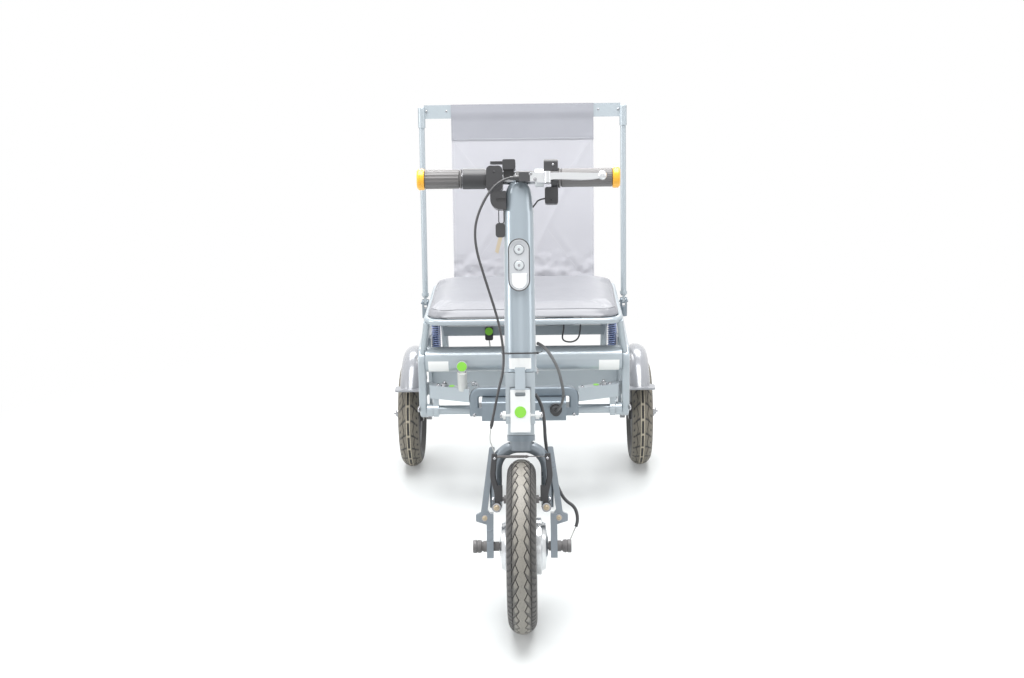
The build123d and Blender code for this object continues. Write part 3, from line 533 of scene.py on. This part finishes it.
def cable_tube(name, line, diameter, bodies, hides=(), mat=CORD, start=None, end=None):
    """A cable as a mesh tube; on one body it rides on it, and over two bodies it stays fixed where it lies.
    """
    body = bodies if isinstance(bodies, str) else None
    obj = piece(name, *tube(line, diameter / 2000), HERE, body, mat, "cord", hides, sharp=60)
    if not body:
        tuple(start or line[0])
        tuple(end or line[-1])
        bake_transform(obj)


# brake cable: black outer from the lever down past the fold to its ferrule, then the bare wire to the
# arm's ribbed boot
brake_line = along([(-15, -25, 656), (-40, -34, 650), (-74, -46, 590), (-78, -50, 538), (-57, -46, 468),
                    (-36, -42, 400), (-28, -37, 346), (-30, -42, 312), (-36, -48, 290), (-42, -47, 264),
                    (-50, -42, 226)], S)
cable_tube("brake_cable_outer", brake_line, 4.5, ("fork_assembly", "steering_column"),
           ["brake_cable_upper", "brake_cable_lower"],
           start=S @ Vector((-44, -46, 245)), end=S @ Vector((-31, -39, 336)))
ferrule = turned((-49.4, -42.4, 229), (-0.2, 0.1, -1),
                 [(0, 2.7), (1, 3.1), (11, 3.1), (12, 2.2), (15, 2.0), (16, 1.2)], 16)
piece("brake_ferrule", *ferrule, S, "fork_assembly", PLASTIC, "black_plastic")
cable("brake_wire", [(-52.5, -41, 214), (-56, -38, 194), (-50, -31, 180), (-47, -29, 168.5)], S, 1.8,
      "fork_assembly", mat=WIRE)
BOOT_Y, BOOT_H = -29, 163
BOOT_RIBS, RIB_PITCH = 22, 2.2
boot_steps = [(0, 1.4), (0.5, 2.5)]
for k in range(BOOT_RIBS):
    boot_steps += [(4 + RIB_PITCH * k, 2.7), (4 + RIB_PITCH * k + RIB_PITCH / 2, 2.2)]
boot_steps += [(56, 2.7), (60, 1.2)]
boot = turned((-46, BOOT_Y, BOOT_H), (1, 0, 0), boot_steps, 16)
boot_wire = tube([(12, BOOT_Y, BOOT_H), (46, BOOT_Y, BOOT_H)], 0.9, 8)
piece("brake_boot", *merged(boot, boot_wire), S, "fork_assembly", RUBBER, "rubber")

# hub cable: bare wire out of the axle, sheathed from a little above it
SHEATH_H = 33
hub_line = along([(86, 0, 11), (92, 3, 24), (101, 7, 44), (96, 13, 68), (76, 17, 80), (62, 20, 110),
                  (50, 19, 146), (43, 12, 186), (42, 8, 226), (36, 7, 258), (25.5, 5, 272)], S)
sheath = next(i for i, p in enumerate(hub_line) if (S.inverted() @ p).z > SHEATH_H)
cable_tube("hub_wire", hub_line[:sheath + 2], 2.4, "fork_assembly", mat=WIRE)
cable_tube("hub_cable", hub_line[sheath:], 6, "fork_assembly", ["motor_cable"])

# harness: from the connector up beside the hinge to the column, in two stretches split at the fold pin's
# height
harness_line = along([(68, 487, 246), (76, 462, 262), (84, 424, 300), (79, 360, 347), (70, 262, 408),
                      (55, 170, 462), (42, 104, 497), (31, 99, 504)], V)
hinge_level = (S @ Vector((0, 0, FOLD_H))).z
top = next(i for i, p in enumerate(harness_line) if p.z > hinge_level)
cable_tube("harness_low", harness_line[:top + 1], 6, ("front_section", "fork_assembly"), ["harness"])
cable_tube("harness_top", harness_line[top:], 6, ("fork_assembly", "steering_column"))
TRAY = 418.2                            # top of the battery box under the seat
cable("seat_lead_loop", [(86, 747, TRAY - 24), (90, 708, TRAY - 30), (89, 699, TRAY - 50),
                         (84, 699, TRAY - 74), (106, 700, TRAY - 80), (124, 700, TRAY - 70),
                         (127, 700, TRAY - 36), (127, 700, TRAY - 6)], V, 3.5, "rear_frame", ["seat_lead"])
cable("switch_lead_run", [(50, 2, 622), (36, 2, 620), (30, 2, 612), (22, 2, 602)], S, 3, "steering_column",
      ["switch_lead"])


def tie(name, centre, rx, ry, body, w, head, tail):
    """A zip tie on a steering part: a strap w wide round an oval, its square head at an angle in
    degrees, and its cut tail."""
    n, thick = 40, 1.0
    rings = []
    for k in range(n):
        a = 2 * pi * k / n
        u = Vector((cos(a) * rx, sin(a) * ry, 0))
        out = Vector((cos(a), sin(a), 0))
        rings.append([centre + u + out * o + Vector((0, 0, h))
                      for o, h in ((0, -w / 2), (thick, -w / 2), (thick, w / 2), (0, w / 2))])
    a = radians(head)
    out = Vector((cos(a), sin(a), 0))
    at = centre + Vector((cos(a) * (rx + 1.6), sin(a) * (ry + 1.6), 0))
    box = moved(slab(rounded(5.0, 4.2, 0.6, 2), -1.8, 1.8, bevel=0.4),
                Matrix.Translation(at) @ Matrix.Rotation(a, 4, "Z"))
    end = tube([at, at + out * tail * 0.6 + Vector((0, 0, 1)), at + out * tail + Vector((0, 0, 3))], 0.9, 6)
    piece(name, *merged(loft(rings, loop=True), box, end), S, body, PLASTIC, "black_plastic")


tie("column_tie", Vector((-1.5, -2, 345.5)), 31.5, 30.5, "steering_column", w=2.6, head=-10, tail=9)
tie("hub_cable_tie", Vector((49, 18, 148)), 4.0, 4.0, "fork_assembly", w=2.2, head=20, tail=5)


# ---------------------------------------------------------------- tyres
SHOULDER = pi / 2 * 1.16                # how far round its section a tread reaches
TREAD_ROWS = [0.0, 0.05, 0.13, 0.25, 0.4, 0.5, 0.55, 0.63, 0.75, 0.9]       # shares of one period


def clamp(value, lo, hi):
    return max(lo, min(hi, value))


def zigzag(f):
    """1 at the start of each period and -1 half way."""
    return abs(4 * f - 2) - 1


def tyre(name, hub, body, mat, hides, outer, half_w, half_h, periods, columns, swing, slant, cut, tint):
    """A tyre skin whose grid lines run along the tread's own grooves.
    columns: distances across from the middle; swing(x): how far the zigzag shifts a column;
    slant(x): how far a row leans; cut(x, row): groove depth; tint(x, row): dust on the tread."""
    cols = [-c for c in reversed(columns)] + [c for c in columns if c > 0]
    step = 2 * pi / periods
    verts, dust = [], []
    for p in range(periods):
        for k, f in enumerate(TREAD_ROWS):
            for c in cols:
                x = c + swing(abs(c)) * zigzag(f) * (1 if c > 0 else -1 if c < 0 else 0)
                angle = (p + f) * step - slant(abs(c)) / outer
                turn = clamp(x / half_w, -SHOULDER, SHOULDER)
                depth = cut(abs(c), k)
                r = outer - half_h + (half_h - depth) * cos(turn)
                verts.append(((half_w - depth * 0.4) * sin(turn), r * sin(angle), r * cos(angle)))
                dust.append(tint(abs(c), k))
    n, total = len(cols), periods * len(TREAD_ROWS)
    faces = []
    for i in range(total):
        a, b = i * n, (i + 1) % total * n
        faces += [(a + j, a + j + 1, b + j + 1, b + j) for j in range(n - 1)]
    # inner wall, out of sight inside the rim
    base = len(verts)
    bead, wall = outer - 2 * half_h + 3, half_w * 0.45
    for i in range(total):
        angle = 2 * pi * i / total
        verts += [(x, bead * sin(angle), bead * cos(angle)) for x in (-wall, wall)]
        dust += [0.0, 0.0]
    for i in range(total):
        j = (i + 1) % total
        a, b = base + 2 * i, base + 2 * j
        faces += [(a, b, j * n, i * n), (a + 1, i * n + n - 1, j * n + n - 1, b + 1), (a, a + 1, b + 1, b)]
    obj = piece(name, verts, faces, hub, body, mat, "tyre", hides, sharp=28)
    obj.data.attributes.new("tread", "FLOAT", "POINT").data.foreach_set("value", dust)


# front: a wavy middle rib, a groove, slanting blocks, a straight groove and lugs. The grid's columns are
# distances from the middle, with a close pair at each groove's edge
FRONT_COLS = [0, 2.5, 5.0, 6.7, 7.1, 8.1, 8.5, 10.5, 12.5, 14.5, 16.4, 16.9, 18.1, 18.6, 20.5, 22.5, 24.5, 27,
              30, 32, 36, 40, 43, 45, 47]
BLOCK_FROM, BLOCK_TO, LUG_FROM = 8.1, 16.4, 18.1


def front_swing(c):
    """The wave of the middle rib, dying out across the blocks."""
    return 2.8 * min(1.0, c / 2.5) * clamp((BLOCK_TO - c) / 7.9, 0.0, 1.0)


def front_slant(c):
    return 1.5 * max(0.0, min(c, BLOCK_TO) - BLOCK_FROM) + 0.7 * max(0.0, min(c, 27.0) - LUG_FROM)


def front_cut(c, k):
    if 7.0 < c < 8.2 or 16.8 < c < 18.2:
        return 1.9
    if 8.2 < c < 16.8 and k in (0, 1):
        return 1.6
    if 18.2 < c < 30.5 and k in (1, 2, 6, 7):
        return 2.0
    return 0.0


def front_dust(c, k):
    if front_cut(c, k) > 0:
        return 0.0
    if c < 7:
        return 0.85
    if c < 16.8:
        return 0.75 if k in (6, 7, 8, 9) and c < 14 else 0.25
    return 0.1


tyre("front_tyre_tread", FRONT_HUB, "front_wheel", RUBBER_TYRE, ["front_tyre"], FRONT_R, 26, 26.5, 37,
     FRONT_COLS, front_swing, front_slant, front_cut, front_dust)

REAR_COLS = [0, 1.4, 2.6, 2.9, 4.2, 4.5, 8, 10, 11.6, 12.0, 13.0, 13.4, 15.5, 17.5, 19.0, 20.0, 20.4, 23, 26,
             29, 32, 36, 40, 43, 45]


def rear_swing(c):
    return 1.6 if 11.5 < c < 13.5 else 0.8 if 9 < c < 18 else 0.0


def rear_slant(c):
    return 0.9 * max(0.0, min(c, 24.0) - 7.0)


def rear_cut(c, k):
    if c < 2.7:
        return 0.2 if k in (0, 1) else 1.6
    if 11.9 < c < 13.1 or 5.8 < c < 19 and k in (1, 2):
        return 1.3
    if 19.5 < c < 26 and k in (1, 2, 6, 7):
        return 1.1
    return 0.0


def rear_dust(c, k):
    if 2.8 < c < 4.3:
        return 0.9
    if c < 2.8:
        return 0.7 if k in (0, 1) else 0.0
    return 0.0 if rear_cut(c, k) > 0.5 or c > 30 else 0.26


for side, word in SIDES:
    tyre(f"rear_tyre_tread_{word}", REAR_HUB[side], f"rear_wheel_{word}_body", RUBBER_REAR,
         [f"rear_tyre_{word}"], REAR_R, 25, 24, 22, REAR_COLS, rear_swing, rear_slant, rear_cut, rear_dust)

# ---------------------------------------------------------------- springs
SPRING_X, SPRING_Y, SPRING_LO, SPRING_HI = 197.5, 706, 322.6, 395.4
COIL_R, TURNS, STEPS = 8.9, 14, 18
core = [(0, 5.6), (SPRING_HI - SPRING_LO, 5.6)]
for side, word in SIDES:
    path = []
    for i in range(TURNS * STEPS + 1):
        a = 2 * pi * i / STEPS
        z = SPRING_LO + 2 + (SPRING_HI - SPRING_LO - 4) * i / (TURNS * STEPS)
        path.append((side * SPRING_X + COIL_R * cos(a), SPRING_Y + COIL_R * sin(a), z))
    piece(f"spring_coil_{word}", *tube(path, 1.5, 8), V, "rear_frame", BLUE, "blue_steel",
          ["springs"] if side > 0 else ())
    piece(f"spring_core_{word}", *turned((side * SPRING_X, SPRING_Y, SPRING_LO), (0, 0, 1), core, 20), V,
          "rear_frame", STEEL, "steel")


# ---------------------------------------------------------------- seat cushion
PAD_HALF, PAD_Y, PAD_LO, PAD_HI = 205.5, (546.0, 861.0), 434.8, 456.4       # before it swells, mm
VOXEL = 0.0052
PINNED = 0.004           # the pad's foot, up to here, is held still
SWELL = 0.008            # how far the pad may rise under its own pressure
SETTLING = 20            # frames of the simulation
TOP_FROM, TOP_RISE = 0.441, 0.012       # the dish comes in over this height and rise
FOOT, WIDEST = 0.4349, 0.2065           # nothing lies lower than the foot or further out


def select(obj):
    bpy.ops.object.select_all(action="DESELECT")
    bpy.context.view_layer.objects.active = obj
    obj.select_set(True)


def ease(obj, rounds):
    """Evens out the small puckers that a simulation leaves, and leaves the foot as it is."""
    bm = bmesh.new()
    bm.from_mesh(obj.data)
    foot = min(v.co.z for v in bm.verts) + 0.005
    loose = [v for v in bm.verts if v.co.z > foot]
    for _ in range(rounds):
        bmesh.ops.smooth_vert(bm, verts=loose, factor=0.5, use_axis_x=True, use_axis_y=True, use_axis_z=True)
    bm.to_mesh(obj.data)
    bm.free()


def inflate(obj):
    """Fills the pad by a cloth simulation under pressure, with its foot held."""
    rest = [v.co.copy() for v in obj.data.vertices]
    group = obj.vertex_groups.new(name="pin")
    low = min(co.z for co in rest)
    for v in obj.data.vertices:
        group.add([v.index], 1.0 if v.co.z < low + PINNED else 0.0, "REPLACE")
    cloth = obj.modifiers.new("cloth", "CLOTH")
    for key, value in (("quality", 5), ("use_pressure", True), ("uniform_pressure_force", 4.0),
                       ("vertex_group_mass", "pin"), ("tension_stiffness", 30), ("bending_stiffness", 8.0)):
        setattr(cloth.settings, key, value)
    cloth.settings.effector_weights.gravity = 0.0
    scene.frame_start, scene.frame_end = 1, SETTLING
    for f in range(1, SETTLING + 1):
        scene.frame_set(f)
    done = obj.evaluated_get(bpy.context.evaluated_depsgraph_get())
    pos = [v.co.copy() for v in done.data.vertices]
    obj.modifiers.remove(cloth)
    obj.vertex_groups.clear()
    scene.frame_set(1)
    for v, a, b in zip(obj.data.vertices, rest, pos):
        d = b - a
        v.co = a + (d if d.length < SWELL else d.normalized() * SWELL)
    ease(obj, 6)


def make_cushion():
    y0, y1 = PAD_Y
    rings = []
    for z, inset in ((PAD_LO, 2.5), (PAD_LO + 1.5, 0.5), (PAD_LO + 5, 0.0), (PAD_HI - 5, 0.0),
                     (PAD_HI - 2, 1.6), (PAD_HI - 0.6, 5.0), (PAD_HI, 14.0)):
        wide, deep, corner = 2 * (PAD_HALF - inset), y1 - y0 - 2 * inset, max(36 - inset, 10)
        outline = rounded(wide, deep, corner, 9, 0, (y0 + y1) / 2)
        rings.append([Vector((x, y, z)) for x, y in outline])
    obj = piece("seat_cushion_vinyl", *loft(rings), V, None, VINYL, "seat_vinyl", sharp=180)
    select(obj)
    remesh = obj.modifiers.new("remesh", "REMESH")
    remesh.mode = "VOXEL"
    remesh.voxel_size = VOXEL
    bpy.ops.object.modifier_apply(modifier="remesh")
    inflate(obj)
    sub = obj.modifiers.new("sub", "SUBSURF")
    sub.levels = sub.render_levels = 1
    bpy.ops.object.modifier_apply(modifier="sub")
    # settle: a slight dish where the rider sits, and small puckers over the top
    seat_y = (V @ Vector((0, 703, 0))).y
    for v in obj.data.vertices:
        x, y = v.co.x, v.co.y - seat_y
        top = clamp((v.co.z - TOP_FROM) / TOP_RISE, 0.0, 1.0)
        dish = exp(-(x / 0.11) ** 2 - (y / 0.09) ** 2)
        v.co.z += top * (-0.0012 * dish + 0.0006 * noise.noise(v.co * 26))
        v.co.z = max(v.co.z, FOOT)
        v.co.x = clamp(v.co.x, -WIDEST, WIDEST)
    for p in obj.data.polygons:
        p.use_smooth = True
    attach(obj, "rear_frame")
    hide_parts("seat_cushion")
    return obj


cushion = make_cushion()
WELT_H, WELT_R, WELT_POINTS = 452.0, 0.0011, 160


def welt():
    """A thin sewn welt round the cushion, found by looking in from outside at one height."""
    centre, up = V @ Vector((0, sum(PAD_Y) / 2, WELT_H)), Vector((0, 0, 1))
    line = []
    for k in range(WELT_POINTS):
        a = 2 * pi * k / WELT_POINTS
        out = Vector((cos(a) * 1.28, sin(a), 0)).normalized()
        hit, at, normal, _ = cushion.ray_cast(centre + out * 0.5, -out)
        if hit:
            line.append(at + normal * 0.0001)
    rings = []
    for k, p in enumerate(line):
        side = (line[(k + 1) % len(line)] - line[k - 1]).normalized().cross(up).normalized()
        rings.append([p + (side * cos(2 * pi * j / 8) + up * sin(2 * pi * j / 8)) * WELT_R for j in range(8)])
    piece("cushion_welt", *loft(rings, loop=True), HERE, "rear_frame", VINYL, "seat_vinyl", sharp=70)


bpy.context.view_layer.update()
welt()

# ---------------------------------------------------------------- back fabric
W_HALF, LOW, HIGH, BAND = 164.5, 40.0, 460.0, 378.0      # half width, foot, top and the doubled band's foot
BAND_THICK = 1.0


def thin(rows, cols, point):
    """A closed thin skin over a grid of rows and columns; point(layer, row, col) gives each place."""
    verts = [point(layer, i, j) for layer in (0, 1) for i in range(rows + 1) for j in range(cols + 1)]
    n, size = cols + 1, (cols + 1) * (rows + 1)
    faces = []
    for i in range(rows):
        for j in range(cols):
            a = i * n + j
            faces += [(a, a + 1, a + n + 1, a + n), (a + size, a + size + n, a + size + n + 1, a + size + 1)]
    rim = list(range(n)) + [i * n + cols for i in range(1, rows + 1)]
    rim += [rows * n + j for j in range(cols - 1, -1, -1)] + [i * n for i in range(rows - 1, 0, -1)]
    return verts, faces + [(a, a + size, b + size, b) for a, b in zip(rim, rim[1:] + rim[:1])]


def cloth_relief(x, l):
    """How far the cloth stands behind its flat plane, mm: sag, pulls from the corners and crumples at the
    foot."""
    u, h = x / W_HALF, (l - LOW) / (HIGH - LOW)
    y = 3.2 * (1 - u * u) * sin(pi * min(1, h * 1.1)) * 0.8
    for sx in (-1, 1):
        line = u - sx * 0.98 + sx * (0.84 - h) * 1.25               # pull running in from each upper corner
        y -= 0.9 * exp(-(line / 0.045) ** 2) * (0.15 < h < 0.84)
        line = u - sx * 0.95 + sx * (h - 0.02) * 1.7                # pull running up from each lower corner
        y -= 1.3 * exp(-(line / 0.06) ** 2) * max(0.0, 1 - h * 1.8)
    foot = max(0.0, 1 - h / 0.22)
    y += foot * 5.0 * noise.noise(Vector((x * 0.03, l * 0.05, 3.0)))
    y += foot * 3.0 * noise.noise(Vector((x * 0.085, l * 0.09, 7.0)))
    y += 1.0 * noise.noise(Vector((x * 0.013, l * 0.012, 1.0)))
    return y


def fabric_front(x, l):
    top = clamp((l - 425) / 14, 0.0, 1.0)             # the sleeve over the flat top bars
    return (1 - top) * (cloth_relief(x, l) - 1.0) - top * 3.6


def cloth_sheet(half, low, high, cols, rows, lift, thick):
    """A sheet of the back's cloth whose front stands lift ahead of fabric_front."""
    def point(layer, i, j):
        x, l = -half + 2 * half * j / cols, low + (high - low) * i / rows
        return x, fabric_front(x, l) - lift + layer * thick, l
    return thin(rows, cols, point)


blend_from, blend_to = B @ Vector((0, 0, 0)), B @ Vector((0, 0, HIGH))
back = piece("back_cloth_panel", *cloth_sheet(W_HALF, LOW, HIGH, 84, 100, 0, 1.4), B, None, CLOTH,
             "back_cloth", ["back_fabric"], sharp=60)
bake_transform(back)
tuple(blend_from)
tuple(blend_to)

doubled = cloth_sheet(W_HALF + 0.5, BAND, HIGH + 0.5, 60, 16, BAND_THICK, BAND_THICK)
band = piece("back_cloth_band", *doubled, B, None, CLOTH_BAND, "back_cloth", sharp=60)
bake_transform(band)
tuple(blend_from)
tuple(blend_to)


def stitches(name, lines, pitch, length):
    """Rows of thread on the cloth, each stitch a short bead lying on the front face."""
    parts = []
    for (xa, la), (xb, lb) in lines:
        run = hypot(xb - xa, lb - la)
        for k in range(int(run / pitch)):
            t0, t1 = k * pitch / run, (k * pitch + length) / run
            pts = []
            for t, lift in ((t0, -0.1), ((t0 + t1) / 2, 0.35), (t1, -0.1)):
                x, l = xa + (xb - xa) * t, la + (lb - la) * t
                pts.append((x, fabric_front(x, l) - lift - (BAND_THICK if l >= BAND - 0.1 else 0), l))
            parts.append(tube(pts, 0.3, 5))
    obj = piece(name, *merged(*parts), B, None, THREAD, "back_cloth", sharp=60)
    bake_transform(obj)
    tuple(blend_from)
    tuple(blend_to)


edge = W_HALF - 6
stitches("back_stitching", [((-edge, LOW + 6), (-edge, BAND - 3)), ((edge, LOW + 6), (edge, BAND - 3)),
                            ((-edge, BAND + 3), (edge, BAND + 3)), ((-edge, LOW + 8), (edge, LOW + 8)),
                            ((-edge + 2, BAND - 4), (-60, 250)), ((edge - 2, BAND - 4), (60, 250)),
                            ((-edge + 14, LOW + 10), (-56, 170)), ((edge - 14, LOW + 10), (56, 170))],
         pitch=4.2, length=2.8)


# ---------------------------------------------------------------- grips and their trim
def ribbed(x0, x1, r, ribs, height):
    """A grip sleeve with lengthwise ribs, closed at both ends by a rounded edge."""
    n, inner, ends = ribs * 6, 11.2, 1.6
    rings = []
    for x, lift, full in ((x0, 0, inner), (x0, -ends, None), (x0 + ends * 0.5, -0.4, None),
                          (x0 + ends, 1, None), (x1 - ends, 1, None), (x1 - ends * 0.5, -0.4, None),
                          (x1, -ends, None), (x1, 0, inner)):
        pts = []
        for k in range(n):
            a = 2 * pi * k / n
            radius = full if full else r + (height * (0.5 + 0.5 * cos(ribs * a)) if lift == 1 else lift)
            pts.append(Vector((x, radius * cos(a), BAR_H + radius * sin(a))))
        rings.append(pts)
    return loft(rings, loop=True)


sleeves = merged(ribbed(-168, -105, 16.2, 16, 1.0), ribbed(-104.6, -101, 17.6, 16, 0.0),
                 ribbed(76, 168, 16.4, 28, 0.35), ribbed(71, 75.6, 18.2, 16, 0.0))
piece("grip_sleeves", *sleeves, S, "steering_column", RUBBER, "rubber", ["grips"])


# ---------------------------------------------------------------- fasteners
def socket_bolt(at, axis, r, h=None):
    h = h or r * 0.9
    return turned(at, axis, [(0, r * 1.5), (r * 0.22, r * 1.5), (r * 0.24, r), (h * 0.85, r), (h, r * 0.86),
                             (h, r * 0.5, 1), (h * 0.45, r * 0.48, 1), (h * 0.4, 0.01)])


def dome_bolt(at, axis, r):
    h = r * 0.6
    return turned(at, axis, [(0, r), (h * 0.35, r * 0.98), (h * 0.75, r * 0.8), (h, r * 0.48),
                             (h, r * 0.42, 1), (h * 0.4, r * 0.4, 1), (h * 0.35, 0.01)])


def hex_bolt(at, axis, r, h=None, stud=0.0):
    h = h or r * 0.75
    steps = [(0, r * 1.45), (r * 0.2, r * 1.45), (r * 0.22, r * 0.97, 1), (h * 0.9, r * 0.97, 1),
             (h, r * 0.85, 1), (h, r * 0.5)]
    if stud:
        steps += [(h + stud * 0.85, r * 0.5), (h + stud, r * 0.4)]
    return turned(at, axis, steps)


BOLTS = {"socket": socket_bolt, "dome": dome_bolt, "hex": hex_bolt}
LEFT, RIGHT, FORWARD, UP = (1, 0, 0), (-1, 0, 0), (0, -1, 0), (0, 0, 1)
CROSS_Y, CROSS_Z, CROSS_R = 592, 334, 27                     # the rear frame's cross tube


def fasteners(name, place, body, items, mat=STEEL, slot="steel"):
    parts = [BOLTS[kind](at, axis, *sizes) for kind, at, axis, *sizes in items]
    piece(name, *merged(*parts), place, body, mat, slot)


def both_sides(items):
    """Each fastener and its mirror image."""
    out = []
    for kind, at, axis, *sizes in items:
        out += [(kind, at, axis, *sizes), (kind, (-at[0], *at[1:]), (-axis[0], *axis[1:]), *sizes)]
    return out


fasteners("fork_bolt_rims", S, "fork_assembly", both_sides([
    ("hex", (44, -38, 74), FORWARD, 5.4, 2.4), ("hex", (66, -11.2, 52), FORWARD, 4.2, 1.8)]))
fasteners("fork_bolts_gold", S, "fork_assembly", both_sides([
    ("socket", (44, -40, 74), FORWARD, 3.6, 3.4), ("socket", (66, -12.6, 52), FORWARD, 3.0, 3.0)]), BRASS)
fasteners("fork_bolts", S, "fork_assembly", both_sides([
    ("hex", (49, -29, 87.5), LEFT, 3.8), ("dome", (46.5, -33, 160), FORWARD, 2.8)])
    + [("dome", (36, -42, 237), LEFT, 5.5), ("dome", (-33, -42, 237), RIGHT, 5.5),
       ("dome", (29, 36, FOLD_H), LEFT, 5.5), ("dome", (-29, 36, FOLD_H), RIGHT, 5.5)])
fasteners("frame_bolts", V, "rear_frame", both_sides([
    ("dome", (229, CROSS_Y, CROSS_Z), LEFT, 7.0), ("dome", (229, 580, 224), LEFT, 7.0),
    ("hex", (306, 850, 127), LEFT, 7.0, 5.0, 4.0), ("dome", (229, 800, 231), LEFT, 5.5)]))
fasteners("arm_bolts", V, "front_section", both_sides([
    ("hex", (172, 571, 280), UP, 6.0, 6.0, 4.0), ("dome", (186, 577, 280), UP, 4.5),
    ("dome", (126, 554, 280), UP, 4.0), ("dome", (107.5, 541, 222), FORWARD, 4.0)]))
fasteners("corner_bolts", B, "backrest", both_sides([
    ("dome", (222, -4.2, 446), FORWARD, 2.6), ("dome", (176, -2.5, 446), FORWARD, 2.4)]))
fasteners("bar_bolts", S, "steering_column", [
    ("socket", (22, -34, 662), FORWARD, 2.2), ("socket", (30, -34, 652), FORWARD, 2.2),
    ("dome", (62, -16, 680), FORWARD, 2.2)])
fasteners("housing_screws", S, "steering_column", [
    ("dome", (-43, -20, 668), FORWARD, 1.9), ("dome", (-43, -20, 644), FORWARD, 1.9),
    ("dome", (58, -10, 618), FORWARD, 1.9)], PLASTIC, "black_plastic")


# ---------------------------------------------------------------- fold lever's spring, seat catch's rod
def helix(centre, r, length, turns, steps=14):
    """Points of a coil along X."""
    total = turns * steps
    return [Vector(centre) + Vector((length * (k / total - 0.5), r * cos(2 * pi * k / steps),
                                     r * sin(2 * pi * k / steps))) for k in range(total + 1)]


coil = helix((-107, 549, 291), 5.2, 13, 4)
legs = ((coil[0], (-9, 0, -1)), (coil[-1], (4, -1, -9)))
ends = [tube([at, at + Vector(reach)], 0.7, 6) for at, reach in legs]
piece("lever_spring", *merged(tube(coil, 0.7, 6), *ends), V, "front_section", STEEL, "steel")
piece("seat_catch_rod", *tube([(-79, 721, 342), (-77, 721, 322), (-72, 721, 299)], 1.5, 10), V, "rear_frame",
      WIRE, "steel")

# ---------------------------------------------------------------- headlight trim
LAMP_H = 502
BULBS = (529, 501)       # heights of the two round lights in the lamp


def oval(half_w, half_h, y):
    """Points of an upright slot outline in the plane of the lamp's face."""
    n = 16
    top = [(half_w * cos(pi * k / n), half_h - half_w + half_w * sin(pi * k / n)) for k in range(n + 1)]
    return [Vector((x, y, LAMP_H + z)) for x, z in top] + [Vector((-x, y, LAMP_H - z)) for x, z in top]


rim = loft([oval(19.4, 46.9, -28.5), oval(19.4, 46.9, -30.3), oval(18.2, 45.7, -30.9),
            oval(17.3, 44.8, -30.3), oval(17.3, 44.8, -28.5)], loop=True)
piece("lamp_rim", *rim, S, "steering_column", PLASTIC, "black_plastic")
bezel = [(0, 9.6), (1.4, 9.4), (1.9, 8.9), (1.4, 8.3), (0.2, 8.2)]
chip = [(0, 2.6), (0.5, 2.4), (0.8, 1.2)]
for name, y, profile, n, slot in (("lamp_bezels", -27, bezel, 28, "steel"),
                                  ("lamp_chips", -29.4, chip, 16, "lens")):
    bulbs = [turned((0, y, w), FORWARD, profile, n) for w in BULBS]
    piece(name, *merged(*bulbs), S, "steering_column", STEEL, slot)
PANEL_R, PANEL_LO, PANEL_HI = 13.5, 473.5, 487
panel = [(PANEL_R * cos(pi * (1 + k / 12)), PANEL_LO + PANEL_R * sin(pi * (1 + k / 12))) for k in range(13)]
panel += [(PANEL_R, PANEL_HI), (-PANEL_R, PANEL_HI)]
piece("lamp_panel", *slab(panel, -27.9, -27.1, axis=1, bevel=0.3), S, "steering_column", WHITE, "white_plate")


# ---------------------------------------------------------------- blank plates and dots
PROUD = 0.15             # the gap under a plate, mm


def wrapped(x0, x1, a0, a1):
    """A thin plate wrapped on the cross tube; angles from straight ahead, up positive."""
    rows, cols = 14, 6

    def point(layer, i, j):
        a, r = radians(a0 + (a1 - a0) * i / rows), CROSS_R + PROUD + 0.4 * layer
        return x0 + (x1 - x0) * j / cols, CROSS_Y - r * cos(a), CROSS_Z + r * sin(a)
    return thin(rows, cols, point)


def collar_plate(w0, w1, radius, half_deg):
    """A thin plate wrapped on the front of the column's collar, from w0 to w1 up the steering axis."""
    cols = 16

    def point(layer, i, j):
        a, r = radians(-half_deg + 2 * half_deg * j / cols), radius + (PROUD, 0.6)[layer]
        return r * sin(a), -r * cos(a), (w0, w1)[i]
    return thin(1, cols, point)


piece("tube_plates", *merged(*[wrapped(s * 206, s * 162, -60, 6) for s, _ in SIDES]), V, "rear_frame", WHITE,
      "white_plate")
piece("collar_plate", *collar_plate(316, 337, 29, 41), S, "steering_column", WHITE, "white_plate")
for name, outline, face, axis, place, body in (
        ("dot_latch", disc(10.2, 32, 0, 243), -55.8, 1, S, "fork_assembly"),
        ("dot_lever", disc(10.6, 32, -132, 331), 542.2, 1, V, "front_section"),
        ("dot_seat_catch", disc(9.0, 32, -79, 362), 716.2, 1, V, "rear_frame"),
        ("dot_arm_left", disc(6.2, 24, 156, 568), 280.1, 2, V, "front_section"),
        ("dot_arm_right", disc(6.2, 24, -156, 568), 280.1, 2, V, "front_section")):
    piece(name, *slab(outline, face, face + 0.7, axis, 0.3), place, body, GREEN, "amber_plastic")
